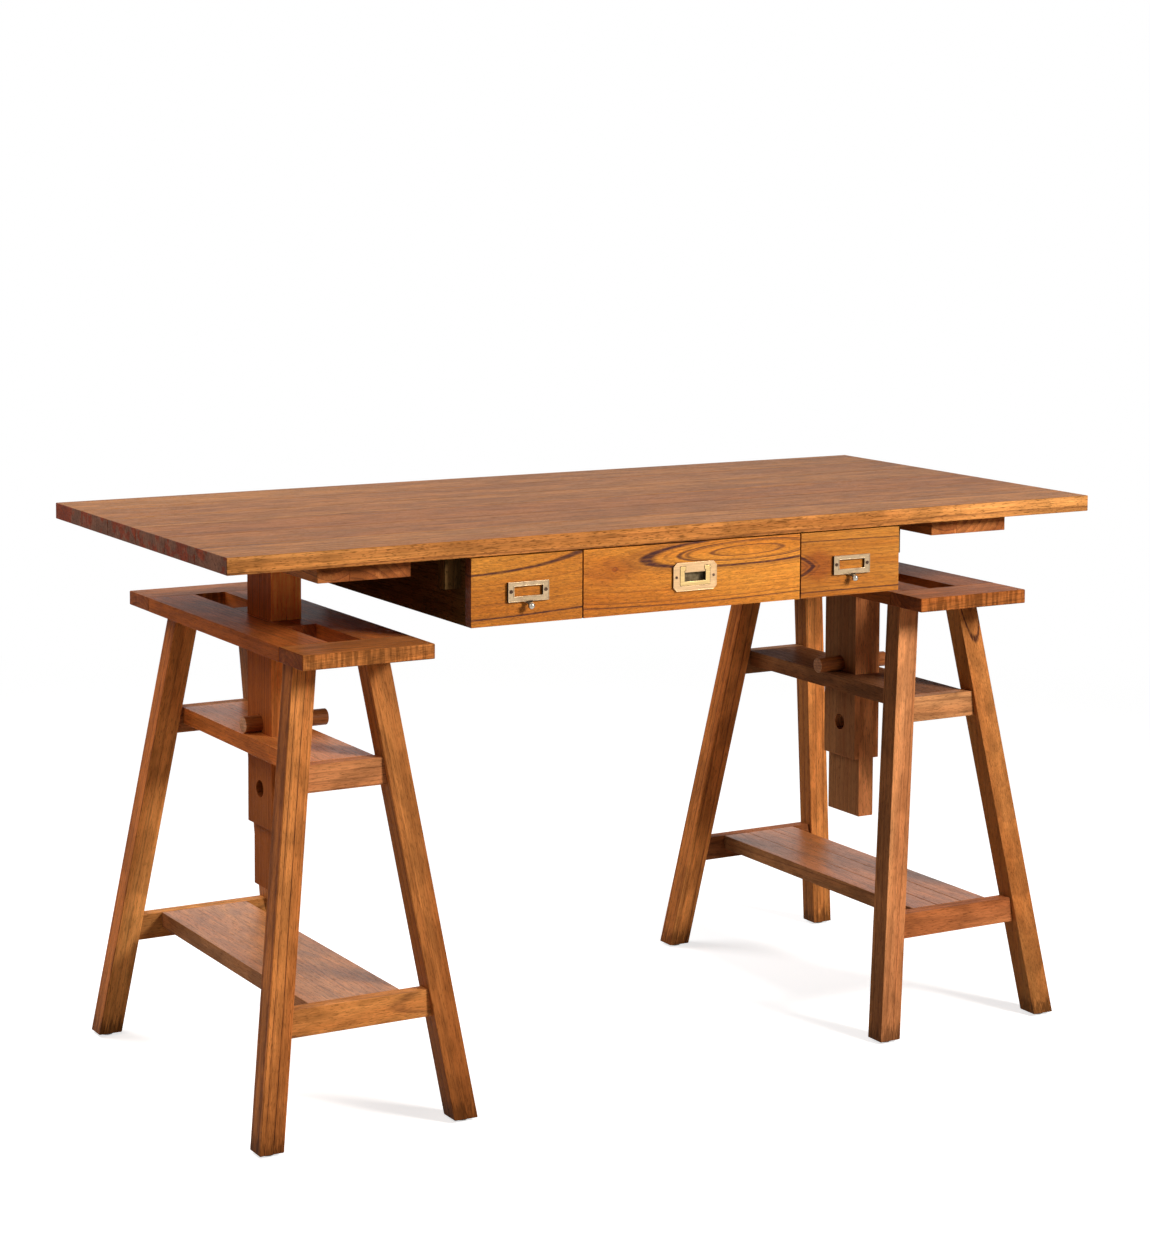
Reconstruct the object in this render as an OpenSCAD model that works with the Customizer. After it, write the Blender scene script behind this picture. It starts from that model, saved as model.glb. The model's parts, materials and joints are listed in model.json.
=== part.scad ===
// Height-adjustable trestle desk: a top on two pegged posts that slide in two splayed trestles.
// X runs along the desk, the drawers face -Y, and Z = 0 is the floor under the tabletop's middle.

/* [Tabletop] */
// Length of the tabletop
top_l = 1500; // [1400:10:1800]
// Depth of the tabletop, front to back
top_w = 680; // [640:10:800]
// Thickness of the tabletop
top_t = 25; // [20:1:35]
// Boards glued edge to edge in the tabletop
top_boards = 6; // [4:1:8]
// Height of the tabletop above the floor, with the pegs in the upper holes
desk_h = 850; // [840:1:900]
// Width of a glue line between two boards
seam = 0.1; // [0.05:0.05:0.3]

/* [Battens] */
// Width of a batten
batten_w = 145; // [110:1:180]
// Thickness of a batten
batten_t = 25; // [18:1:32]
// Distance from a batten's ends to the tabletop's edges
batten_inset = 27; // [5:1:60]
// Width of the narrow board in a batten
batten_narrow = 49; // [25:1:52]
// Distance from a batten's ends to its end screws
batten_screw_in = 40; // [25:1:80]

/* [Posts] */
// Distance from the tabletop's end to the middle of each post and trestle
trestle_in = 220; // [160:1:230]
// Width of a post, along the desk
post_w = 49; // [42:0.5:60]
// Depth of a post, front to back
post_d = 88; // [70:1:110]
// Thickness of a post's core board
core_t = 29; // [20:0.5:34]
// Running gap between a post and what guides it
post_gap = 0.7; // [0.4:0.1:1]
// Distance between the two peg holes
hole_pitch = 100; // [80:5:120]
// Distance from the lower peg hole to the bottom of the cheeks
cheek_below = 57; // [30:1:70]
// Length of core below the cheeks
tongue_l = 98; // [40:1:110]

/* [Pegs] */
// Diameter of a peg
peg_d = 25; // [16:0.5:30]
// Length of a peg
peg_l = 136; // [120:1:170]
// Gap all round a peg in its hole
peg_gap = 0.5; // [0.3:0.1:1]
// Gap between a peg and the shelf that it stands on
peg_seat_gap = 0.3; // [0.2:0.1:0.5]
// How far the left peg stands out of the left of its post
left_peg_out = 27; // [15:1:60]
// How far the right peg stands out of the left of its post
right_peg_out = 46; // [15:1:60]

/* [Trestle caps] */
// Length of a cap, front to back
cap_l = 660; // [600:5:720]
// Width of a cap
cap_w = 206; // [190:1:220]
// Thickness of a cap
cap_t = 22; // [18:1:30]
// Height of a cap's top above the floor
cap_top = 704; // [690:1:715]
// Width of a cap's end pieces, front to back
cap_end = 82; // [50:1:100]
// Length of the fillers beside the post
filler_l = 52; // [20:1:80]

/* [Legs] */
// Width of a leg, along the desk
leg_w = 37; // [30:0.5:45]
// Depth of a leg, front to back
leg_d = 35; // [32:0.5:45]
// Distance from the trestle's middle to the middle of a leg's top, along the desk
leg_top_x = 56; // [52:1:75]
// Distance from the trestle's middle to the middle of a leg's top, front to back
leg_top_y = 218; // [190:1:225]
// How far a foot stands out past its leg's top, along the desk
leg_splay_x = 97; // [80:1:110]
// How far a foot stands out past its leg's top, front to back
leg_splay_y = 97; // [60:1:110]
// Diameter of a glide under a foot
glide_d = 20; // [14:1:26]
// Height of a glide
glide_h = 4; // [3:0.5:8]

/* [Shelves and rails] */
// Height of the middle shelf's top above the floor
mid_top = 530; // [520:1:545]
// Width of the middle shelf
mid_w = 108; // [85:1:114]
// Thickness of the middle shelf
mid_t = 25; // [18:1:30]
// Height of the rails that carry the middle shelf
mid_rail_h = 40; // [34:1:50]
// Height of the lower shelf's top above the floor
low_top = 194; // [150:1:220]
// Width of the lower shelf
low_w = 145; // [110:1:175]
// Thickness of the lower shelf
low_t = 24; // [18:1:30]
// Height of the rails that carry the lower shelf
low_rail_h = 40; // [34:1:50]
// Boards in the left lower shelf
left_low_boards = 1; // [1:1:3]
// Boards in the right lower shelf
right_low_boards = 3; // [1:1:3]
// Thickness of all the rails
rail_t = 22; // [18:0.5:24]
// Set-back of a rail's face from the face of its legs
rail_back = 8; // [6:0.5:9]

/* [Wood joints] */
// Thickness of the rails' tenons
tenon_t = 10; // [6:0.5:12]
// Shoulder above and below a rail's tenon
tenon_shoulder = 6; // [4:0.5:8]
// How far a rail's tenon runs past the middle of its leg
tenon_past = 3; // [0:0.5:8]
// Side of the square tenon on a leg's top
top_tenon_w = 20; // [14:1:24]
// Height of the tenon on a leg's top
top_tenon_h = 14; // [8:1:16]
// Thickness of the tongues on shelves and stiles
tongue_t = 8; // [6:0.5:10]
// Length of the tongues on shelves and stiles
tongue_in = 8; // [5:0.5:10]
// Shoulder at each side of a stile's tongue
tongue_shoulder = 9; // [5:0.5:14]
// Gap round a glued tenon, tongue or groove
glue_gap = 0.2; // [0.1:0.05:0.3]

/* [Drawer case] */
// Width of the drawer case over its sides
case_w = 750; // [700:2:780]
// Height of the drawer case
case_h = 102; // [94:1:110]
// Thickness of the case's sides and dividers
case_t = 16; // [12:1:20]
// Thickness of the case's back
case_back_t = 12; // [9:1:18]
// Thickness of the case's bottom
case_bottom_t = 8; // [6:0.5:12]
// Height of the case's bottom above the lower edge of its sides
case_bottom_up = 4; // [2:0.5:6]
// Depth of the groove for the bottom in the case's sides
case_groove = 6; // [4:0.5:8]
// Size of a hanger block, along the desk
hanger_w = 26; // [20:1:30]
// Size of a hanger block, front to back
hanger_d = 20; // [18:1:30]
// Height of a hanger block
hanger_h = 49; // [44:1:60]
// Distance from a hanger block to the near end of the case's sides
hanger_in = 14; // [5:1:60]

/* [Drawers] */
// Width of the middle drawer's front
middle_w = 380; // [320:2:420]
// Gap between the drawer fronts and the tabletop
front_top_gap = 2; // [1:0.5:4]
// Thickness of the drawer fronts
front_t = 18; // [16:1:22]
// Gap between neighbouring fronts
front_gap = 2; // [1:0.5:4]
// Gap between a closed front and the case behind it
closing_gap = 0.3; // [0.2:0.1:1]
// Depth of a drawer's box behind its front
drawer_d = 440; // [360:5:500]
// Room between the back of a closed drawer and the case's back
drawer_room = 28; // [10:1:60]
// Height of a drawer's sides
drawer_h = 78; // [60:1:80]
// Thickness of a drawer's sides
drawer_side_t = 10; // [8:0.5:12]
// Thickness of a drawer's back
drawer_back_t = 10; // [8:0.5:12]
// Thickness of a drawer's bottom
drawer_bottom_t = 5; // [3:0.5:6]
// Height of a drawer's bottom above the lower edge of its sides
drawer_bottom_up = 7; // [5:0.5:10]
// Depth of the grooves in a drawer's sides and front
drawer_groove = 5; // [3:0.5:6]
// Gap between a drawer and the case on each side
drawer_side_gap = 0.8; // [0.5:0.1:1.5]
// Gap between a drawer and the case's bottom
drawer_run_gap = 0.3; // [0.2:0.1:0.5]

/* [Label holders] */
// Width of a label holder
holder_w = 67; // [64:0.5:75]
// Height of a label holder
holder_h = 29; // [27:0.5:36]
// Thickness of a label holder
holder_t = 4.5; // [3:0.1:6]
// Width of the label's window
window_w = 47; // [40:0.5:48]
// Height of the label's window
window_h = 14.4; // [12:0.2:16]
// Width of the bar under the window
holder_foot = 8; // [6:0.2:10]
// Height of a holder's middle above the bottom of its drawer front
holder_up = 47.5; // [42:0.5:52]
// Width of the pull lip where it leaves the holder
lip_w = 26; // [20:1:32]
// Length of the pull lip
lip_l = 9.5; // [8:0.5:10]
// Thickness of the pull lip
lip_t = 1.8; // [1.2:0.1:2.5]
// Width of the lip's neck at the knob
lip_neck = 4.8; // [3:0.2:6]
// Slope of the pull lip, in degrees below level
lip_slope = 35; // [20:1:45]
// Height of the lip's root above the bottom of its holder
lip_up = 1.8; // [1.5:0.1:4]
// Diameter of the ball knob
ball_d = 10; // [8:0.5:11]
// Distance from the lip's end to the middle of the knob
ball_past = 2; // [1:0.5:3]
// How far the lip's neck runs into the knob
neck_in = 1.5; // [1:0.1:2.5]
// Distance between a holder's two screws
holder_screw_pitch = 57; // [54:0.5:58]
// Height of the holder's screws above its middle
holder_screw_up = 1; // [0:0.5:3]

/* [Middle pull] */
// Width of the pull's plate
plate_w = 76; // [74:0.5:90]
// Height of the pull's plate
plate_h = 43; // [41:0.5:52]
// Thickness of the pull's plate
plate_t = 3.2; // [2.8:0.1:4]
// Cut across the plate's corners
plate_corner = 6; // [3:0.5:8]
// Height of the plate's middle above the bottom of its drawer front
plate_up = 49; // [44:0.5:54]
// Width of the bail
bail_w = 52; // [48:0.5:54]
// Height of the bail
bail_h = 28.5; // [27:0.5:31]
// Thickness of the bail
bail_t = 2.8; // [2.4:0.1:3.2]
// Height of the bail's middle above the plate's middle
bail_up = 1.2; // [0:0.1:2]
// Width of the bail's arms
bail_arm = 7.3; // [5:0.1:8]
// Height of the bail's grip bar
bail_grip = 6; // [5:0.1:8]
// Width of the bail's ears
bail_ear = 9.3; // [8.2:0.1:10]
// Height of the bail's ears
bail_ear_h = 6; // [5:0.1:7]
// Gap between the bail and the plate round it
bail_gap = 0.6; // [0.5:0.1:0.8]
// Radius of the bail's stub pins
bail_pin_r = 1; // [0.8:0.05:1.1]
// Length of the bail's stub pins
bail_pin_l = 3; // [2:0.1:4]
// Gap round a stub pin in its hole
bail_pin_gap = 0.05; // [0.02:0.01:0.09]
// Height of the finger window over the bail's grip bar
finger_h = 13.5; // [11:0.5:14]
// Depth of the finger cup behind the plate
cup_deep = 8; // [7:0.5:10]
// Wall of the finger cup
cup_wall = 1; // [0.8:0.1:1.4]
// Distance between the plate's two screws
plate_screw_pitch = 65; // [62:0.5:67]

/* [Screws] */
// Length of the screws that hold the battens and hanger blocks
screw_l = 40; // [32:1:42]
// Radius of those screws' shanks
screw_r = 2.25; // [1.75:0.05:2.5]
// Radius of those screws' heads
screw_head_r = 4.25; // [3.5:0.05:5]
// Length of the brass screws
pin_screw_l = 12; // [8:0.5:13]
// Radius of the brass screws' shanks
pin_screw_r = 1.2; // [1:0.05:1.4]
// Radius of the label holders' screw heads
holder_head_r = 2.75; // [2:0.05:3]
// Height of the label holders' screw heads
holder_head_h = 1.4; // [0.8:0.1:2]
// Radius of the plate's screw heads
plate_head_r = 2.2; // [1.8:0.05:2.4]
// Height of the plate's screw heads
plate_head_h = 0.6; // [0.4:0.1:1.2]
// Width of a brass screw head's flat top, as a share of its rim
screw_dome = 0.6; // [0.3:0.1:0.8]
// Gap round a screw in its hole
screw_gap = 0.05; // [0.03:0.01:0.1]

/* [Hidden] */
$fn = 64;

// Ways along x to the left and right, and along y to the front and back
left = -1;
right = 1;
front = -1;
back = 1;
sides = [-1, 1];
// Reach of a cut past a face, and overlap of two shapes of one solid
bite = 1;
// A length past the whole desk
far = 2 * desk_h;

// Place of the posts and trestles, each side of the middle
trestle_x = top_l / 2 - trestle_in;

// Heights of the top and the posts
top_under = desk_h - top_t;
batten_under = top_under - batten_t;
batten_l = top_w - 2 * batten_inset;
batten_screw_x = (batten_w - batten_narrow) / 2;
cheek_t = (post_w - core_t) / 2;
peg_z = mid_top + peg_seat_gap + peg_d / 2;
cheek_bottom = peg_z - hole_pitch - cheek_below;
core_bottom = cheek_bottom - tongue_l;

// Trestle: the slot, the stiles and the legs' lean
slot_w = post_w + 2 * post_gap;
slot_d = post_d + 2 * post_gap;
cap_under = cap_top - cap_t;
stile_w = (cap_w - slot_w) / 2;
stile_l = cap_l - 2 * cap_end;
leg_h = cap_under - glide_h;
foot_x = leg_top_x + leg_splay_x;
foot_y = leg_top_y + leg_splay_y;
leg_axis = sqrt(pow(leg_splay_x, 2) + pow(leg_splay_y, 2) + pow(leg_h, 2));
leg_lean = [asin(leg_splay_y / leg_axis), -atan(leg_splay_x / leg_h), 0];
function leg_x(z) = leg_top_x + leg_splay_x * (cap_under - z) / leg_h;
function leg_y(z) = leg_top_y + leg_splay_y * (cap_under - z) / leg_h;
function rail_face(top, h) = leg_y(top - h / 2) + leg_d / 2 - rail_back;
function rail_inner(top, h) = rail_face(top, h) - rail_t;

// Drawer case and drawers
front_y = -top_w / 2;
front_back = front_y + front_t;
front_h = case_h - front_top_gap;
case_y = front_back + closing_gap;
case_d = drawer_d + drawer_room + case_back_t;
case_z = top_under - case_h;
case_floor = case_z + case_bottom_up + case_bottom_t;
case_in = case_w / 2 - case_t;
divider_x = (middle_w + front_gap) / 2;
side_bay = case_in - divider_x - case_t / 2;
side_bay_x = case_in - side_bay / 2;
middle_bay = 2 * divider_x - case_t;
side_w = (case_w - middle_w) / 2 - front_gap;
side_x = (case_w - side_w) / 2;
box_z = case_floor + drawer_run_gap;
groove_y = front_back - drawer_groove;
hanger_x = (case_w + hanger_w) / 2;
hanger_ys = [case_y + hanger_in, case_y + case_d - hanger_in - hanger_d];

// Label holders: the lip's scooped sides are arcs, level where they meet the holder
holder_z = case_z + holder_up;
holder_face = front_y - holder_t;
holder_bottom = holder_z - holder_h / 2;
lip_y = holder_face + bite;
lip_z = holder_bottom + lip_up;
scoop_r = (pow((lip_w - lip_neck) / 2, 2) + pow(lip_l, 2)) / (2 * lip_l);

// Middle pull
plate_z = case_z + plate_up;
plate_face = front_y - plate_t;
bail_z = plate_z + bail_up;
bail_top = bail_z + bail_h / 2;
bail_bottom = bail_z - bail_h / 2;
bail_y = plate_face + bail_t / 2;
bail_pin_z = bail_top - bail_ear_h / 2;
finger_bottom = bail_bottom + bail_grip;
cup_bottom = bail_bottom + bail_grip / 2;
cup_top = bail_top + bail_gap;

// A box centred in x and y, from its bottom up
module block(w, d, h) {
    translate([-w / 2, -d / 2, 0]) cube([w, d, h]);
}

// A box centred in x, from its front face back and from its bottom up
module board(w, d, h) {
    translate([-w / 2, 0, 0]) cube([w, d, h]);
}

// A round bar along x
module bar_x(x0, x1, r) {
    translate([x0, 0, 0]) rotate([0, 90, 0]) cylinder(h = x1 - x0, r = r);
}

// A round bar along y, that may taper
module bar_y(length, r1, r2) {
    rotate([-90, 0, 0]) cylinder(h = length, r1 = r1, r2 = r2);
}

// An outline in x and z, made solid from y0 to y1
module upright(y0, y1) {
    translate([0, y1, 0]) rotate([90, 0, 0]) linear_extrude(y1 - y0) children();
}

// A rectangle from its middle in x and its lower and upper edges
module strip(w, low, high) {
    translate([-w / 2, low]) square([w, high - low]);
}

// Tabletop

module tabletop() {
    pitch = (top_w + seam) / top_boards;
    color("peru")
        difference() {
            for (i = [0 : top_boards - 1])
                translate([0, front_y + i * pitch, top_under]) board(top_l, pitch - seam, top_t);
            top_screw_holes();
        }
}

// Battens, with the posts' cores let through them

module batten(side) {
    wide = batten_w - batten_narrow;
    color("sienna")
        difference() {
            translate([side * trestle_x, 0, batten_under]) {
                translate([(batten_narrow - batten_w - seam) / 2, 0, 0])
                    block(batten_narrow - seam, batten_l, batten_t);
                translate([(batten_w - wide) / 2, 0, 0]) block(wide, batten_l, batten_t);
            }
            translate([side * trestle_x, 0, batten_under - bite])
                block(core_t + 2 * glue_gap, post_d + 2 * glue_gap, batten_t + 2 * bite);
            top_screw_holes();
        }
}

module left_batten() batten(left);
module right_batten() batten(right);

// Countersunk screws, up through the battens and the hanger blocks

module top_screw_places() {
    for (side = sides, x = [-batten_screw_x, batten_screw_x], row = [-1, 0, 1])
        translate([side * trestle_x + x, row * (batten_l / 2 - batten_screw_in), batten_under])
            children();
    hanger_places() translate([0, 0, batten_under]) children();
}

module hanger_places() {
    for (side = sides, y = hanger_ys)
        translate([side * hanger_x, y + hanger_d / 2, 0]) children();
}

module top_screw(gap) {
    cylinder(h = screw_head_r - screw_r, r1 = screw_head_r + gap, r2 = screw_r + gap);
    cylinder(h = screw_l + gap, r = screw_r + gap);
}

module top_screw_holes() {
    top_screw_places() top_screw(screw_gap);
}

module top_screws() {
    color("silver") top_screw_places() top_screw(0);
}

// Posts: a core between two cheeks, bored for the pegs

module peg_holes() {
    for (z = [peg_z, peg_z - hole_pitch])
        translate([0, 0, z]) bar_x(-post_w, post_w, peg_d / 2 + peg_gap);
}

module post_core(side) {
    color("sienna")
        translate([side * trestle_x, 0, 0])
            difference() {
                translate([0, 0, core_bottom]) block(core_t, post_d, top_under - core_bottom);
                peg_holes();
            }
}

module post_cheeks(side) {
    color("chocolate")
        translate([side * trestle_x, 0, 0])
            difference() {
                for (s = sides)
                    translate([s * (core_t + cheek_t) / 2, 0, cheek_bottom])
                        block(cheek_t, post_d, batten_under - cheek_bottom);
                peg_holes();
            }
}

module left_post_core() post_core(left);
module right_post_core() post_core(right);
module left_post_cheeks() post_cheeks(left);
module right_post_cheeks() post_cheeks(right);

// Pegs

module peg(side, out) {
    start = side * trestle_x - post_w / 2 - out;
    color("burlywood") translate([0, 0, peg_z]) bar_x(start, start + peg_l, peg_d / 2);
}

module left_peg() peg(left, left_peg_out);
module right_peg() peg(right, right_peg_out);

// Drawer case

module case_bottom_panel(gap) {
    translate([0, case_y - gap, case_floor - case_bottom_t - gap])
        board(
            2 * (case_in + case_groove - glue_gap + gap),
            case_d + 2 * gap,
            case_bottom_t + 2 * gap
        );
}

module case_bottom() {
    color("peru") case_bottom_panel(0);
}

module case_sides() {
    color("sienna")
        difference() {
            for (side = sides)
                translate([side * (case_w - case_t) / 2, case_y, case_z])
                    board(case_t, case_d, case_h);
            case_bottom_panel(glue_gap);
        }
}

module case_dividers() {
    color("peru")
        for (side = sides)
            translate([side * divider_x, case_y, case_floor])
                board(case_t, case_d - case_back_t, top_under - case_floor);
}

module case_back() {
    color("peru")
        translate([0, case_y + case_d - case_back_t, case_floor])
            board(2 * case_in, case_back_t, top_under - case_floor);
}

module hanger_blocks() {
    color("sienna")
        difference() {
            hanger_places()
                translate([0, 0, top_under - hanger_h]) block(hanger_w, hanger_d, hanger_h);
            hanger_places()
                translate([0, 0, top_under - hanger_h - bite])
                    cylinder(h = hanger_h - batten_t + bite, r = screw_head_r + screw_gap);
            top_screw_holes();
        }
}

// Drawers, each from its bay's middle and width

module drawer_side_pair(bay_x, bay, gap) {
    for (s = sides)
        translate([
            bay_x + s * ((bay - drawer_side_t) / 2 - drawer_side_gap),
            groove_y - gap,
            box_z - gap
        ])
            board(
                drawer_side_t + 2 * gap,
                drawer_d + drawer_groove + 2 * gap,
                drawer_h + 2 * gap
            );
}

module drawer_panel(bay_x, bay, gap) {
    inner_w = bay - 2 * (drawer_side_gap + drawer_side_t);
    translate([bay_x, groove_y - gap, box_z + drawer_bottom_up - gap])
        board(
            inner_w + 2 * (drawer_groove - glue_gap + gap),
            drawer_d + drawer_groove + 2 * gap,
            drawer_bottom_t + 2 * gap
        );
}

module drawer_front(x, w, bay_x, bay) {
    difference() {
        translate([x, front_y, case_z]) board(w, front_t, front_h);
        drawer_side_pair(bay_x, bay, glue_gap);
        drawer_panel(bay_x, bay, glue_gap);
    }
}

module drawer_sides(bay_x, bay) {
    color("burlywood")
        difference() {
            drawer_side_pair(bay_x, bay, 0);
            drawer_panel(bay_x, bay, glue_gap);
        }
}

module drawer_back(bay_x, bay) {
    low = drawer_bottom_up + drawer_bottom_t;
    color("burlywood")
        translate([bay_x, front_back + drawer_d - drawer_back_t, box_z + low])
            board(bay - 2 * (drawer_side_gap + drawer_side_t), drawer_back_t, drawer_h - low);
}

module drawer_bottom(bay_x, bay) {
    color("wheat") drawer_panel(bay_x, bay, 0);
}

module side_drawer_front(side) {
    color("goldenrod")
        difference() {
            drawer_front(side * side_x, side_w, side * side_bay_x, side_bay);
            holder_screw_places(side) brass_screw_hole();
        }
}

module left_drawer_front() side_drawer_front(left);
module left_drawer_sides() drawer_sides(-side_bay_x, side_bay);
module left_drawer_back() drawer_back(-side_bay_x, side_bay);
module left_drawer_bottom() drawer_bottom(-side_bay_x, side_bay);

module middle_drawer_front() {
    color("goldenrod")
        difference() {
            drawer_front(0, middle_w, 0, middle_bay);
            upright(front_y - bite, front_y + cup_deep + glue_gap)
                cup_outline(cup_wall + glue_gap);
            plate_screw_places() brass_screw_hole();
        }
}

module middle_drawer_sides() drawer_sides(0, middle_bay);
module middle_drawer_back() drawer_back(0, middle_bay);
module middle_drawer_bottom() drawer_bottom(0, middle_bay);

module right_drawer_front() side_drawer_front(right);
module right_drawer_sides() drawer_sides(side_bay_x, side_bay);
module right_drawer_back() drawer_back(side_bay_x, side_bay);
module right_drawer_bottom() drawer_bottom(side_bay_x, side_bay);

// Brass screws, driven through the brass into the fronts

module brass_screw(head_r, head_h) {
    bar_y(pin_screw_l, pin_screw_r, pin_screw_r);
    translate([0, -head_h, 0]) bar_y(head_h, head_r * screw_dome, head_r);
}

module brass_screw_hole() {
    r = pin_screw_r + screw_gap;
    translate([0, -bite, 0]) bar_y(pin_screw_l + bite + screw_gap, r, r);
}

module holder_screw_places(side) {
    for (s = sides)
        translate([
            side * side_x + s * holder_screw_pitch / 2,
            holder_face,
            holder_z + holder_screw_up
        ]) children();
}

module plate_screw_places() {
    for (s = sides)
        translate([s * plate_screw_pitch / 2, plate_face, plate_z]) children();
}

module holder_screws(side) {
    color("darkgoldenrod") holder_screw_places(side) brass_screw(holder_head_r, holder_head_h);
}

module left_holder_screws() holder_screws(left);
module right_holder_screws() holder_screws(right);

module middle_pull_screws() {
    color("darkgoldenrod") plate_screw_places() brass_screw(plate_head_r, plate_head_h);
}

// Label holders, each with a pull lip that ends in a ball knob

module lip_slant() {
    translate([0, lip_y, lip_z]) rotate([180 + lip_slope, 0, 0]) children();
}

module lip() {
    lip_slant()
        linear_extrude(lip_t)
            difference() {
                strip(lip_w, 0, lip_l + neck_in);
                for (s = sides)
                    translate([s * lip_w / 2, scoop_r]) circle(scoop_r);
            }
}

module label_holder(side) {
    color("darkkhaki")
        difference() {
            translate([side * side_x, 0, 0]) {
                difference() {
                    translate([0, holder_face, holder_bottom]) board(holder_w, holder_t, holder_h);
                    translate([0, holder_face - bite, holder_bottom + holder_foot])
                        board(window_w, holder_t + 2 * bite, window_h);
                }
                lip();
            }
            holder_screw_places(side) brass_screw_hole();
        }
}

module knob(side) {
    color("gold")
        translate([side * side_x, 0, 0])
            difference() {
                lip_slant() translate([0, lip_l + ball_past, lip_t / 2]) sphere(d = ball_d);
                lip();
            }
}

module left_label_holder() label_holder(left);
module right_label_holder() label_holder(right);
module left_knob() knob(left);
module right_knob() knob(right);

// Middle pull: a plate with a finger cup, and a bail that swings out on stub pins

module bail_outline(grow) {
    for (s = sides) {
        translate([s * (bail_w - bail_arm) / 2, 0])
            strip(bail_arm + 2 * grow, bail_bottom - grow, bail_top + grow);
        translate([s * (bail_w - bail_ear) / 2, 0])
            strip(bail_ear + 2 * grow, bail_top - bail_ear_h - grow, bail_top + grow);
    }
    strip(bail_w + 2 * grow, bail_bottom - grow, finger_bottom + grow);
}

module pull_opening() {
    bail_outline(bail_gap);
    strip(bail_w, finger_bottom, finger_bottom + finger_h);
}

module plate_outline() {
    w = plate_w / 2;
    h = plate_h / 2;
    c = plate_corner;
    translate([0, plate_z])
        polygon([
            [-w, c - h], [c - w, -h], [w - c, -h], [w, c - h],
            [w, h - c], [w - c, h], [c - w, h], [-w, h - c]
        ]);
}

module cup_outline(grow) {
    strip(bail_w + 2 * (bail_gap + grow), cup_bottom - grow, cup_top + grow);
}

module stub_pins(gap) {
    for (s = sides)
        translate([s * bail_w / 2, bail_y, bail_pin_z])
            bar_x(-bail_pin_l - gap, bail_pin_l + gap, bail_pin_r + gap);
}

module middle_pull_plate() {
    color("burlywood")
        difference() {
            union() {
                upright(plate_face, front_y) plate_outline();
                upright(front_y - bite, front_y + cup_deep) cup_outline(cup_wall);
            }
            upright(plate_face - bite, front_y) pull_opening();
            upright(plate_face - bite, front_y + bite)
                intersection() {
                    pull_opening();
                    cup_outline(0);
                }
            upright(front_y, front_y + cup_deep - cup_wall) cup_outline(0);
            stub_pins(bail_pin_gap);
            plate_screw_places() brass_screw_hole();
        }
}

module middle_pull_bail() {
    color("wheat") {
        upright(plate_face, plate_face + bail_t) bail_outline(0);
        stub_pins(0);
    }
}

// Trestle caps: two stiles and a post's slot between two end pieces

module stile_tongues(gap) {
    for (s = sides)
        translate([s * (slot_w + stile_w) / 2, 0, cap_under + (cap_t - tongue_t) / 2 - gap])
            block(
                stile_w - 2 * (tongue_shoulder - gap),
                stile_l + 2 * (tongue_in + gap),
                tongue_t + 2 * gap
            );
}

module cap_stiles(side) {
    color("sienna")
        translate([side * trestle_x, 0, 0])
            difference() {
                union() {
                    for (s = sides)
                        translate([s * (slot_w + stile_w) / 2, 0, cap_under])
                            block(stile_w, stile_l, cap_t);
                    stile_tongues(0);
                }
                leg_tenons(glue_gap);
            }
}

module cap_ends(side) {
    color("saddlebrown")
        translate([side * trestle_x, 0, 0])
            difference() {
                for (s = sides)
                    translate([0, s * (cap_l - cap_end) / 2, cap_under])
                        block(cap_w, cap_end, cap_t);
                stile_tongues(glue_gap);
                leg_tenons(glue_gap);
            }
}

module cap_fillers(side) {
    color("sienna")
        translate([side * trestle_x, 0, 0])
            for (s = sides)
                translate([0, s * (slot_d + filler_l) / 2, cap_under])
                    block(slot_w, filler_l, cap_t);
}

module left_cap_stiles() cap_stiles(left);
module left_cap_ends() cap_ends(left);
module left_cap_fillers() cap_fillers(left);
module right_cap_stiles() cap_stiles(right);
module right_cap_ends() cap_ends(right);
module right_cap_fillers() cap_fillers(right);

// Legs: square sticks that lean both ways, cut level under the cap and on the glide

module leg_stick(extra_d) {
    intersection() {
        translate([foot_x, foot_y, glide_h])
            rotate(leg_lean)
                translate([0, 0, -far]) block(leg_w, leg_d + 2 * extra_d, 2 * far);
        translate([0, 0, glide_h]) block(far, far, leg_h);
    }
}

module leg_tenon(gap) {
    translate([leg_top_x, leg_top_y, cap_under - bite])
        block(top_tenon_w + 2 * gap, top_tenon_w + 2 * gap, top_tenon_h + bite + gap);
}

module four_ways() {
    for (sx = [0, 1], sy = [0, 1])
        mirror([sx, 0, 0]) mirror([0, sy, 0]) children();
}

module leg_tenons(gap) {
    four_ways() leg_tenon(gap);
}

module leg(side, x_way, y_way) {
    color("chocolate")
        translate([side * trestle_x, 0, 0])
            mirror([x_way < 0 ? 1 : 0, 0, 0])
                mirror([0, y_way < 0 ? 1 : 0, 0])
                    difference() {
                        union() {
                            leg_stick(0);
                            leg_tenon(0);
                        }
                        rail_tenons(mid_top, mid_rail_h, glue_gap);
                        rail_tenons(low_top, low_rail_h, glue_gap);
                    }
}

module left_front_outer_leg() leg(left, -1, front);
module left_front_inner_leg() leg(left, 1, front);
module left_back_outer_leg() leg(left, -1, back);
module left_back_inner_leg() leg(left, 1, back);
module right_front_outer_leg() leg(right, 1, front);
module right_front_inner_leg() leg(right, -1, front);
module right_back_outer_leg() leg(right, 1, back);
module right_back_inner_leg() leg(right, -1, back);

// Rails between the legs, shouldered against them, and the shelves that they carry

module rail_tenons(top, h, gap) {
    reach = leg_x(top - h / 2) + tenon_past + gap;
    translate([0, rail_face(top, h) - rail_t / 2, top - h + tenon_shoulder - gap])
        block(2 * reach, tenon_t + 2 * gap, h - 2 * (tenon_shoulder - gap));
}

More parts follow.
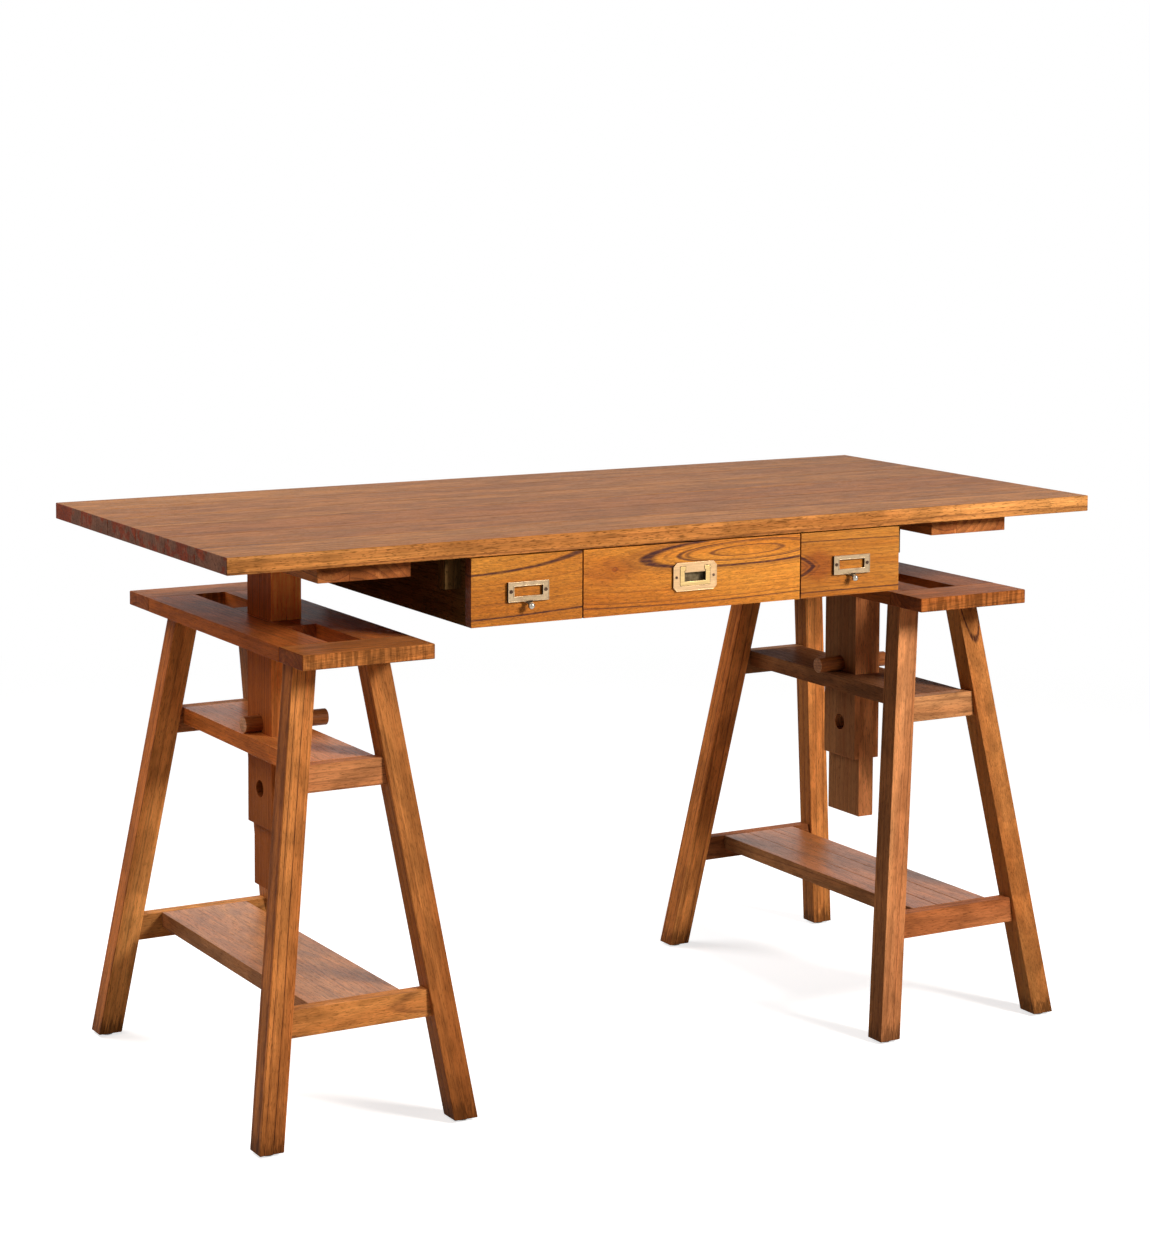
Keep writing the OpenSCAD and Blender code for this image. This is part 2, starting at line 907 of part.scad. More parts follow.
module rail(top, h, shelf_w, shelf_t) {
    difference() {
        union() {
            difference() {
                translate([0, rail_face(top, h) - rail_t / 2, top - h])
                    block(2 * leg_x(top - h / 2), rail_t, h);
                for (s = [0, 1])
                    mirror([s, 0, 0]) leg_stick(rail_t);
            }
            rail_tenons(top, h, 0);
        }
        shelf_tongue(top, h, shelf_w, shelf_t, glue_gap);
    }
}

module rails(side, top, h, shelf_w, shelf_t) {
    color("chocolate")
        translate([side * trestle_x, 0, 0])
            for (s = [0, 1])
                mirror([0, s, 0]) rail(top, h, shelf_w, shelf_t);
}

module shelf_tongue(top, h, w, t, gap) {
    length = 2 * (rail_inner(top, h) + tongue_in + gap);
    translate([0, 0, top - (t + tongue_t) / 2 - gap])
        block(w + 2 * gap, length, tongue_t + 2 * gap);
}

module shelf_board(top, h, w, t) {
    translate([0, 0, top - t]) block(w, 2 * rail_inner(top, h), t);
    shelf_tongue(top, h, w, t, 0);
}

module mid_shelf(side) {
    color("peru")
        translate([side * trestle_x, 0, 0])
            difference() {
                shelf_board(mid_top, mid_rail_h, mid_w, mid_t);
                translate([0, 0, mid_top - mid_t - bite])
                    block(slot_w, slot_d, mid_t + 2 * bite);
            }
}

module low_shelf(side, boards) {
    pitch = (low_w + seam) / boards;
    color("peru")
        translate([side * trestle_x, 0, 0])
            for (i = [0 : boards - 1])
                translate([(i + 0.5) * pitch - (low_w + seam) / 2, 0, 0])
                    shelf_board(low_top, low_rail_h, pitch - seam, low_t);
}

module left_mid_shelf() mid_shelf(left);
module left_mid_rails() rails(left, mid_top, mid_rail_h, mid_w, mid_t);
module left_low_shelf() low_shelf(left, left_low_boards);
module left_low_rails() rails(left, low_top, low_rail_h, low_w, low_t);
module right_mid_shelf() mid_shelf(right);
module right_mid_rails() rails(right, mid_top, mid_rail_h, mid_w, mid_t);
module right_low_shelf() low_shelf(right, right_low_boards);
module right_low_rails() rails(right, low_top, low_rail_h, low_w, low_t);

// Glides under the feet

module glides(side) {
    color("whitesmoke")
        translate([side * trestle_x, 0, 0])
            four_ways() translate([foot_x, foot_y, 0]) cylinder(h = glide_h, d = glide_d);
}

module left_glides() glides(left);
module right_glides() glides(right);

tabletop();
left_batten();
right_batten();
top_screws();
left_post_core();
left_post_cheeks();
right_post_core();
right_post_cheeks();
left_peg();
right_peg();
case_sides();
case_dividers();
case_back();
case_bottom();
hanger_blocks();
left_drawer_front();
left_drawer_sides();
left_drawer_back();
left_drawer_bottom();
middle_drawer_front();
middle_drawer_sides();
middle_drawer_back();
middle_drawer_bottom();
right_drawer_front();
right_drawer_sides();
right_drawer_back();
right_drawer_bottom();
left_label_holder();
left_knob();
left_holder_screws();
right_label_holder();
right_knob();
right_holder_screws();
middle_pull_plate();
middle_pull_bail();
middle_pull_screws();
left_cap_stiles();
left_cap_ends();
left_cap_fillers();
left_front_outer_leg();
left_front_inner_leg();
left_back_outer_leg();
left_back_inner_leg();
left_mid_shelf();
left_mid_rails();
left_low_shelf();
left_low_rails();
left_glides();
right_cap_stiles();
right_cap_ends();
right_cap_fillers();
right_front_outer_leg();
right_front_inner_leg();
right_back_outer_leg();
right_back_inner_leg();
right_mid_shelf();
right_mid_rails();
right_low_shelf();
right_low_rails();
right_glides();
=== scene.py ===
import math
import random
from types import SimpleNamespace

import bmesh
import bpy
from mathutils import Matrix, Vector
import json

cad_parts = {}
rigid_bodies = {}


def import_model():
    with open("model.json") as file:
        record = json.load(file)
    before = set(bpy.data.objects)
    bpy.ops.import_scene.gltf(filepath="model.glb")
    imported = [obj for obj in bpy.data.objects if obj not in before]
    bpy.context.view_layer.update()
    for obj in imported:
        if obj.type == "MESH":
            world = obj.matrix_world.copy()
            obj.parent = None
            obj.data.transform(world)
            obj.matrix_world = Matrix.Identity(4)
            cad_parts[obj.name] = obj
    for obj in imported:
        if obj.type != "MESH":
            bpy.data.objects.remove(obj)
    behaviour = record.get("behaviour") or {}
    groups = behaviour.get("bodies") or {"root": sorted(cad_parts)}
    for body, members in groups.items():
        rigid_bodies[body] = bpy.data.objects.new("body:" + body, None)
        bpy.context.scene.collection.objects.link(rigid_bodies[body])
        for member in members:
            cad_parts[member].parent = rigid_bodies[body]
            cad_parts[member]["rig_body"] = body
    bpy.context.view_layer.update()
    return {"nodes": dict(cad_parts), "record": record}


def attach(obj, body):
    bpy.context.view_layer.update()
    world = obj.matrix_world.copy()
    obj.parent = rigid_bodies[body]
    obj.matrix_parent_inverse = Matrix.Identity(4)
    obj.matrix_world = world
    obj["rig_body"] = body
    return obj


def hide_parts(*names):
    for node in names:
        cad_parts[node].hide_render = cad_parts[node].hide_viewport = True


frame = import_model()

# Height-adjustable trestle desk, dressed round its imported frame: oiled boards with eased edges,
# worn brass label holders, a pale brass flush pull, a plain pale floor and soft studio light.
# Lengths are in metres, and the drawers face -Y.

MM = 0.001
SOFT_EDGE = math.radians(40)

# Camera, read from the photograph
CAMERA_PLACE = (-2.278, -3.957, 1.417)
CAMERA_HEADING = -0.5202
CAMERA_PITCH = 0.0813
CAMERA_ROLL = 0.0047
PHOTO_LONG_SIDE = 1255
FOCAL_PIXELS = 2894.6
SENSOR_WIDTH = 36.0
LENS_SHIFT_Y = -0.2
NEAREST = 0.05
FARTHEST = 100.0


def make_camera():
    bpy.ops.object.camera_add()
    camera = bpy.context.active_object
    camera.name = "photo_camera"
    camera.data.sensor_width = SENSOR_WIDTH
    camera.data.lens = FOCAL_PIXELS * SENSOR_WIDTH / PHOTO_LONG_SIDE
    camera.data.shift_y = LENS_SHIFT_Y
    camera.data.clip_start = NEAREST
    camera.data.clip_end = FARTHEST
    turn = Matrix.Rotation(CAMERA_HEADING, 4, "Z")
    tilt = Matrix.Rotation(math.pi / 2 - CAMERA_PITCH, 4, "X")
    roll = Matrix.Rotation(CAMERA_ROLL, 4, "Z")
    camera.matrix_world = Matrix.Translation(CAMERA_PLACE) @ turn @ tilt @ roll
    bpy.context.scene.camera = camera


# Handling of objects and of what is selected

def take(piece):
    """Makes piece the one selected and active object"""
    bpy.ops.object.select_all(action="DESELECT")
    piece.select_set(True)
    bpy.context.view_layer.objects.active = piece


def edit(piece):
    take(piece)
    bpy.ops.object.mode_set(mode="EDIT")
    bpy.ops.mesh.select_mode(type="FACE")


def done():
    bpy.ops.object.mode_set(mode="OBJECT")


def settle(piece, name):
    """Puts the piece's place, turn and size into its mesh"""
    take(piece)
    bpy.ops.object.transform_apply(location=True, rotation=True, scale=True)
    piece.name = name
    piece.data.name = name
    return piece


def apply_modifier(piece, kind, **settings):
    take(piece)
    modifier = piece.modifiers.new(kind.lower(), kind)
    for key, value in settings.items():
        setattr(modifier, key, value)
    bpy.ops.object.modifier_apply(modifier=modifier.name)


def smooth(piece):
    """Smooth shading over soft edges, with the flat faces kept flat"""
    take(piece)
    bpy.ops.object.shade_smooth_by_angle(angle=SOFT_EDGE)
    apply_modifier(piece, "WEIGHTED_NORMAL", keep_sharp=True)


def join(pieces, name):
    take(pieces[0])
    for piece in pieces[1:]:
        piece.select_set(True)
    bpy.ops.object.join()
    joined = bpy.context.active_object
    joined.name = name
    joined.data.name = name
    return joined


# What the frame says of each node: the body that carries it, and the name of its finish

BODY_OF = {node: thing["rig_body"] for node, thing in frame["nodes"].items()}
SLOT_OF = {part["node"]: part["material_slot"] for part in frame["record"]["subparts"]}


def stands_for(piece, node, finish):
    """The piece takes the node's place, rides on its body and has its finish"""
    piece.data.materials.clear()
    piece.data.materials.append(finish)
    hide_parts(node)
    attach(piece, BODY_OF[node])


# Node trees

def put(socket, value, tree):
    """Links a socket to another socket, or gives it a fixed value"""
    if isinstance(value, bpy.types.NodeSocket):
        tree.links.new(value, socket)
    else:
        socket.default_value = value


def add(tree, kind, inputs=None, **settings):
    node = tree.nodes.new(kind)
    for key, value in settings.items():
        setattr(node, key, value)
    for key, value in (inputs or {}).items():
        put(node.inputs[key], value, tree)
    return node


def maths(tree, operation, a, b=0.0, clamp=False):
    node = add(tree, "ShaderNodeMath", {0: a, 1: b}, operation=operation, use_clamp=clamp)
    return node.outputs[0]


def times(tree, a, b, clamp=False):
    return maths(tree, "MULTIPLY", a, b, clamp)


def vectors(tree, operation, a, b=(0, 0, 0)):
    node = add(tree, "ShaderNodeVectorMath", {0: a, 1: b}, operation=operation)
    return node.outputs["Value" if operation == "LENGTH" else "Vector"]


def noise(tree, place, stretch, detail=2.0, roughness=0.5, output="Fac"):
    """Noise whose cells are 1/stretch metres long on each axis"""
    scaled = vectors(tree, "MULTIPLY", place, stretch)
    inputs = {"Vector": scaled, "Scale": 1.0, "Detail": detail, "Roughness": roughness}
    return add(tree, "ShaderNodeTexNoise", inputs).outputs[output]


def spread(tree, value, low, high, to_low=0.0, to_high=1.0, shape="SMOOTHSTEP"):
    """Maps value from low..high to to_low..to_high"""
    inputs = {"Value": value, "From Min": low, "From Max": high, "To Min": to_low, "To Max": to_high}
    return add(tree, "ShaderNodeMapRange", inputs, interpolation_type=shape).outputs["Result"]


def mix(tree, factor, a, b, blend="MIX"):
    node = add(tree, "ShaderNodeMix", {0: factor, 6: a, 7: b}, data_type="RGBA", blend_type=blend,
               clamp_factor=False)
    return node.outputs[2]


def rgba(colour):
    return (*colour, 1.0)


def darken(tree, colour, shade):
    grey = add(tree, "ShaderNodeCombineColor", {0: shade, 1: shade, 2: shade}).outputs[0]
    return mix(tree, 1.0, colour, grey, "MULTIPLY")


def new_material(name):
    material = bpy.data.materials.new(name)
    material.use_nodes = True
    material.node_tree.nodes.clear()
    return material, material.node_tree


def finish_material(tree, inputs, height, depth):
    bump = {"Height": height, "Distance": depth, "Strength": 1.0}
    inputs["Normal"] = add(tree, "ShaderNodeBump", bump).outputs["Normal"]
    shader = add(tree, "ShaderNodeBsdfPrincipled", inputs)
    add(tree, "ShaderNodeOutputMaterial", {"Surface": shader.outputs["BSDF"]})


# Oiled wood. The attribute grain holds a place in the log that a board was sawn from: along it,
# and across and through it from its heart. The attribute finish holds end grain, eased edges, tone
# and brightness.

# What a wood can be told, and what it has otherwise. Each also has a light and a middle colour that
# drift into each other, the dark colour of its late rings and lines, and two colours of end grain
USUAL_WOOD = dict(
    ring=0.006,  # width of a yearly ring
    late=(0.58, 0.90),  # where in a ring its late band darkens, as shares of the ring
    marks=0.8,  # how dark the late bands are
    choosy=3.0,  # the higher, the fewer of them are dark
    lines=(),  # marked rings: distance from the log's heart, half width, strength
    knots=(),  # along and across in the log, reach along, reach across, marking, reddening
    faintest=0.40,  # strength of the dark lines where they are broken
    wander=0.030,  # how far the rings wander slowly
    jitter=0.004,  # how far they wander quickly
    streaks=1.0,  # strength of all streaks
    bands=1.0,  # strength of the broad streaks
    fineness=1.0,  # how fine the streaks and the long pores are
    pores=0.5,  # how dark the pores are
    ripple=0.0,  # how dark the waves across the grain are
    # Eased edges are lighter partly as wear and partly as a painted highlight
    wear=(0.08, 0.40),  # how much lighter eased edges are, at least and at most
    grimy=False,  # whether it darkens towards the floor
    rough=0.42,  # roughness
    shine=0.10,  # level of the mirror-like share
)
# Depth of every wood's relief
GRAIN_DEPTH = 0.00025

# Shares of a wood's colours
RED_TONE = (0.80, 0.66, 0.58)
GOLDEN_TONE = (1.14, 1.22, 1.24)
FLAME = (0.95, 0.72, 0.52)
KNOT_FLUSH = (0.62, 0.42, 0.55)

# Knots: the share of a lozenge in their outline, the base of their swell, and their dark rims, each
# with its distance as a share of the knot's reach, half width and strength
KNOT_LOZENGE = 0.60
SWELL_BASE = 2.718
KNOT_RIMS = ((1.0, 0.24, 0.95), (0.58, 0.12, 0.35), (1.45, 0.14, 0.30))


def shares_of(colour, shares):
    return tuple(a * b for a, b in zip(colour, shares))


def sway(tree, log, stretch, reach):
    """Noise that carries a place in the log across and through it"""
    aside = vectors(tree, "SUBTRACT", noise(tree, log, stretch, output="Color"), (0.5, 0.5, 0.5))
    return vectors(tree, "MULTIPLY", aside, (0, reach, reach))


def bend_round_knots(tree, place, radius, knots):
    """The rings' distance from the heart as the knots bend them, the knots' dark rims and the reddened
    wood round them"""
    rims, flush = 0.0, 0.0
    for along, across, long_reach, cross_reach, marking, redness in knots:
        offset = vectors(tree, "SUBTRACT", place, (along, across, 0))
        offset = vectors(tree, "MULTIPLY", offset, (1 / long_reach, 1 / cross_reach, 0))
        reach = add(tree, "ShaderNodeSeparateXYZ", {0: vectors(tree, "ABSOLUTE", offset)})
        lozenge = maths(tree, "ADD", reach.outputs[0], reach.outputs[1])
        away = maths(tree, "ADD", times(tree, lozenge, KNOT_LOZENGE),
                     times(tree, vectors(tree, "LENGTH", offset), 1 - KNOT_LOZENGE))
        swell = maths(tree, "POWER", SWELL_BASE, times(tree, times(tree, away, away), -0.5))
        radius = maths(tree, "ADD", radius, times(tree, swell, marking * cross_reach))
        for rim, half_width, strength in KNOT_RIMS:
            gap = maths(tree, "ABSOLUTE", maths(tree, "SUBTRACT", away, rim))
            edge = spread(tree, gap, half_width * 0.4, half_width, strength * marking, 0.0)
            rims = maths(tree, "MAXIMUM", rims, edge)
        flush = maths(tree, "MAXIMUM", flush, spread(tree, away, 0.9, 2.4, redness, 0.0))
    return radius, rims, flush


def ring_lines(tree, radius, look):
    """Dark lines where a ring is late and chance makes it dark, or where it is marked, and a soft band
    in every ring"""
    phase = maths(tree, "DIVIDE", radius, look.ring)
    place = maths(tree, "FRACT", phase)
    band = times(tree, spread(tree, place, *look.late), spread(tree, place, 0.94, 1.0, 1.0, 0.0))
    chance = add(tree, "ShaderNodeTexWhiteNoise", {"W": maths(tree, "FLOOR", phase)}, noise_dimensions="1D")
    weight = times(tree, maths(tree, "POWER", chance.outputs["Value"], look.choosy), look.marks, True)
    line = times(tree, band, weight)
    for distance, half_width, strength in look.lines:
        gap = maths(tree, "ABSOLUTE", maths(tree, "SUBTRACT", radius, distance))
        edge = spread(tree, gap, half_width * 0.35, half_width * 1.6, strength, 0.0)
        line = maths(tree, "MAXIMUM", line, edge)
    return line, spread(tree, place, 0.15, 0.95)


def face_colour(tree, log, line, soft_band, flush, look):
    drift = spread(tree, noise(tree, log, (0.9, 16, 16), 3.0), 0.34, 0.66)
    flame = spread(tree, noise(tree, log, (2.6, 60, 60), 3.0, 0.6), 0.40, 0.68)
    colour = mix(tree, drift, rgba(look.middle), rgba(look.light))
    colour = mix(tree, times(tree, flame, 0.30 * look.streaks), colour, rgba(shares_of(look.middle, FLAME)))
    colour = mix(tree, times(tree, soft_band, 0.16 * look.streaks), colour, rgba(look.dark))
    if look.knots:
        colour = mix(tree, flush, colour, rgba(shares_of(look.middle, KNOT_FLUSH)))
    return mix(tree, line, colour, rgba(look.dark))


def end_colour(tree, log, line, soft_band, look):
    """End grain: patches of two colours, with the rings as arcs"""
    patch = spread(tree, noise(tree, log, (1.0, 24, 24), 3.0, 0.6), 0.46, 0.54)
    colour = mix(tree, patch, rgba(look.ends[0]), rgba(look.ends[1]))
    arcs = times(tree, maths(tree, "ADD", times(tree, soft_band, 0.4), line), 0.7, True)
    return mix(tree, arcs, colour, rgba(look.dark))


def pits(tree, log, look):
    """Round pores, and how dark they and the long pores are together"""
    fine = 560 * look.fineness
    dash = spread(tree, noise(tree, log, (40, fine, fine), 1.0), 0.60, 0.68)
    pore = spread(tree, noise(tree, log, (110, 850, 850), 1.0), 0.58, 0.68)
    return pore, times(tree, maths(tree, "MAXIMUM", pore, dash), look.pores)


def grain_shade(tree, log, fibre, pitted, eased, look):
    """Lighter and darker by fibres, streaks, ripples and pores, and lighter on eased edges as wear and as a
    painted highlight
    """
    shade = spread(tree, fibre, 0.30, 0.70, 1 - 0.12 * look.streaks, 1 + 0.10 * look.streaks, "LINEAR")
    for length, width, low, high, drop, lift in (
            (3.0, 400, 0.36, 0.64, 0.16, 0.10),
            (1.1, 100, 0.34, 0.66, 0.10 * look.bands, 0.08 * look.bands)):
        threads = noise(tree, log, (length, width * look.fineness, width * look.fineness), 2.0, 0.6)
        drop, lift = drop * look.streaks, lift * look.streaks
        shade = times(tree, shade, spread(tree, threads, low, high, 1 - drop, 1 + lift, "LINEAR"))
    if look.ripple:
        waves = noise(tree, log, (170, 16, 16), 3.0, 0.6)
        shade = times(tree, shade, spread(tree, waves, 0.40, 0.62, 1.0, 1.0 - look.ripple))
    shade = times(tree, shade, maths(tree, "SUBTRACT", 1.0, pitted))
    worn_and_highlit = spread(tree, noise(tree, log, (14, 40, 40)), 0.40, 0.60, *look.wear)
    return times(tree, shade, maths(tree, "ADD", 1.0, times(tree, eased, worn_and_highlit)))


def darken_near_floor(tree, broken):
    """Dark at the floor with a broken edge, and a little darker up to the lower rails"""
    height = add(tree, "ShaderNodeSeparateXYZ", {0: add(tree, "ShaderNodeTexCoord").outputs["Object"]})
    above = maths(tree, "SUBTRACT", height.outputs[2], times(tree, broken, 0.030))
    at_floor = spread(tree, above, -0.015, 0.012, 0.45, 1.0)
    return times(tree, at_floor, spread(tree, above, 0.0, 0.160, 0.84, 1.0))


def wood(name, **changes):
    look = SimpleNamespace(**dict(USUAL_WOOD, **changes))
    material, tree = new_material(name)
    log = add(tree, "ShaderNodeAttribute", attribute_name="grain").outputs["Vector"]
    finish = add(tree, "ShaderNodeAttribute", attribute_name="finish").outputs
    parts = add(tree, "ShaderNodeSeparateColor", {0: finish["Color"]})
    end_grain, eased, tone = parts.outputs[0], parts.outputs[1], parts.outputs[2]

    # Distance from the heart of the log, which wanders along its length
    bent = vectors(tree, "ADD", log, sway(tree, log, (1.3, 8, 8), look.wander))
    bent = vectors(tree, "ADD", bent, sway(tree, log, (9, 60, 60), look.jitter))
    radius = vectors(tree, "LENGTH", vectors(tree, "MULTIPLY", bent, (0, 1, 1)))
    radius, rims, flush = bend_round_knots(tree, bent, radius, look.knots)
    line, soft_band = ring_lines(tree, radius, look)
    if look.knots:
        line = maths(tree, "MAXIMUM", line, rims)
    broken = spread(tree, noise(tree, log, (34, 340, 340), 2.0, 0.6), 0.34, 0.56, look.faintest, 1.0)
    line = times(tree, line, broken, True)

    tint = mix(tree, tone, rgba(RED_TONE), rgba(GOLDEN_TONE))
    colour = mix(tree, 1.0, face_colour(tree, log, line, soft_band, flush, look), tint, "MULTIPLY")
    colour = mix(tree, end_grain, colour, end_colour(tree, log, line, soft_band, look))
    fibre = noise(tree, log, (11, 900, 900), 2.0, 0.6)
    pore, pitted = pits(tree, log, look)
    shade = times(tree, grain_shade(tree, log, fibre, pitted, eased, look), finish["Alpha"])
    # Darker towards the floor, with a broken edge
    if look.grimy:
        shade = times(tree, shade, darken_near_floor(tree, broken))

    gloss = spread(tree, fibre, 0.3, 0.7, look.rough - 0.05, look.rough + 0.09, "LINEAR")
    gloss = maths(tree, "ADD", gloss, times(tree, pitted, 0.25))
    relief = maths(tree, "SUBTRACT", times(tree, fibre, 0.5), times(tree, pore, 0.8))
    relief = maths(tree, "SUBTRACT", relief, times(tree, line, 0.35))
    inputs = {"Base Color": darken(tree, colour, shade), "Roughness": gloss, "Specular IOR Level": look.shine}
    finish_material(tree, inputs, relief, GRAIN_DEPTH)
    return material


def brass(name, bright, tarnish, worn, rough, brushed=(45, 700, 700)):
    """Brass with tarnish in patches, fine brush marks and small dents"""
    material, tree = new_material(name)
    place = add(tree, "ShaderNodeTexCoord").outputs["Object"]
    patch = noise(tree, place, (90, 90, 90), 4.0, 0.62)
    fleck = noise(tree, place, (700, 700, 700), 2.0, 0.5)
    brush = noise(tree, place, brushed, 2.0, 0.6)
    dull = spread(tree, patch, *worn)
    spotted = times(tree, spread(tree, fleck, 0.60, 0.72), 0.45)
    dull = maths(tree, "ADD", dull, spotted, True)
    colour = mix(tree, dull, rgba(bright), rgba(tarnish))
    colour = darken(tree, colour, spread(tree, brush, 0.3, 0.7, 0.88, 1.08, "LINEAR"))
    gloss = spread(tree, brush, 0.3, 0.7, rough - 0.06, rough + 0.06, "LINEAR")
    gloss = maths(tree, "ADD", gloss, times(tree, dull, 0.22))
    relief = maths(tree, "ADD", times(tree, brush, 0.5), times(tree, patch, 0.6))
    inputs = {"Base Color": colour, "Roughness": gloss, "Metallic": 1.0}
    finish_material(tree, inputs, relief, 0.00012)
    return material


def steel(name):
    material, tree = new_material(name)
    place = add(tree, "ShaderNodeTexCoord").outputs["Object"]
    stain = spread(tree, noise(tree, place, (400, 400, 400), 3.0), 0.45, 0.65)
    colour = mix(tree, stain, rgba((0.50, 0.49, 0.47)), rgba((0.24, 0.21, 0.18)))
    gloss = spread(tree, stain, 0.0, 1.0, 0.30, 0.55, "LINEAR")
    finish_material(tree, {"Base Color": colour, "Roughness": gloss, "Metallic": 1.0}, stain, 0.00005)
    return material


def glide_plastic(name):
    material, tree = new_material(name)
    place = add(tree, "ShaderNodeTexCoord").outputs["Object"]
    scuff = noise(tree, place, (260, 260, 260), 4.0, 0.6)
    colour = mix(tree, spread(tree, scuff, 0.45, 0.70), rgba((0.74, 0.72, 0.66)), rgba((0.52, 0.48, 0.41)))
    gloss = spread(tree, scuff, 0.3, 0.7, 0.35, 0.60, "LINEAR")
    inputs = {"Base Color": colour, "Roughness": gloss, "Subsurface Weight": 0.25,
              "Subsurface Radius": (0.004, 0.004, 0.003)}
    finish_material(tree, inputs, scuff, 0.00006)
    return material


# Marked rings of the three drawer fronts: distance from the heart, half width and strength
LEFT_LINES = ((0.0352, 0.0016, 0.95), (0.0990, 0.0013, 0.95), (0.0790, 0.0010, 0.30))
MIDDLE_LINES = ((0.0215, 0.0017, 1.0), (0.0243, 0.0024, 0.35), (0.0172, 0.0005, 0.35),
                (0.0143, 0.0006, 0.85), (0.0127, 0.0005, 0.60), (0.0074, 0.0006, 0.75),
                (0.0725, 0.0009, 0.80), (0.0670, 0.0006, 0.45))
RIGHT_LINES = ((0.1120, 0.0010, 0.90), (0.1885, 0.0010, 0.80))
# and those of two legs
VEE_LINES = ((0.0205, 0.0010, 0.95), (0.0120, 0.0007, 0.60))
LEG_LINES = ((0.0835, 0.0005, 0.60), (0.0915, 0.0006, 0.85), (0.1045, 0.0007, 0.90))

# Knots: along and across in the log, reach along, reach across, marking and reddening
MIDDLE_KNOTS = ((-0.137, -0.0100, 0.005, 0.0030, 0.5, 0.8), (-0.150, -0.0120, 0.034, 0.0120, 0.0, 0.45))
RIGHT_KNOTS = ((0.905, 0.1470, 0.026, 0.0150, 1.0, 0.0), (0.940, 0.1480, 0.026, 0.0140, 0.0, 0.75))

# The two colours of end grain
TOP_ENDS = ((0.158, 0.067, 0.039), (0.190, 0.032, 0.010))
RED_ENDS = ((0.20, 0.062, 0.026), (0.17, 0.044, 0.016))
BATTEN_ENDS = ((0.36, 0.120, 0.034), (0.27, 0.080, 0.022))
CAP_ENDS = ((0.34, 0.090, 0.024), (0.27, 0.064, 0.016))
# The case's end grain is painted dark as shade, like its faces in case_wood
CASE_ENDS = ((0.05, 0.020, 0.008), (0.06, 0.018, 0.007))
DRAWER_ENDS = ((0.36, 0.22, 0.10), (0.32, 0.18, 0.08))
PEG_ENDS = ((0.60, 0.27, 0.13), (0.50, 0.21, 0.09))

# Woods that others are made from
FRONT_WOOD = dict(light=(0.72, 0.285, 0.040), middle=(0.57, 0.190, 0.023), dark=(0.070, 0.022, 0.018),
                  ends=RED_ENDS, ring=0.0075, marks=0.22, pores=0.30, rough=0.38, shine=0.12, wander=0.006,
                  late=(0.70, 0.92), jitter=0.0012, faintest=0.75, fineness=1.5, bands=0.6)
RIGHT_WOOD = dict(FRONT_WOOD, light=(0.65, 0.300, 0.052), middle=(0.52, 0.205, 0.030))
LEG_WOOD = dict(light=(0.51, 0.190, 0.052), middle=(0.39, 0.124, 0.031), dark=(0.060, 0.018, 0.010),
                ends=RED_ENDS, ring=0.0105, choosy=1.5, pores=0.34, shine=0.02, wander=0.007,
                streaks=0.75, late=(0.80, 0.90), wear=(0.30, 0.80), jitter=0.002, fineness=1.5, bands=0.6)
TAN_WOOD = dict(LEG_WOOD, light=(0.44, 0.190, 0.074), middle=(0.34, 0.126, 0.046))
CAP_WOOD = dict(light=(0.48, 0.148, 0.036), middle=(0.35, 0.097, 0.021), dark=(0.070, 0.020, 0.008),
                ends=CAP_ENDS, ring=0.0085, choosy=2.5, pores=0.26, rough=0.40, streaks=0.8,
                late=(0.74, 0.92), jitter=0.002)
SHELF_WOOD = dict(ends=RED_ENDS, ring=0.0080, marks=0.50, pores=0.36, fineness=0.6)

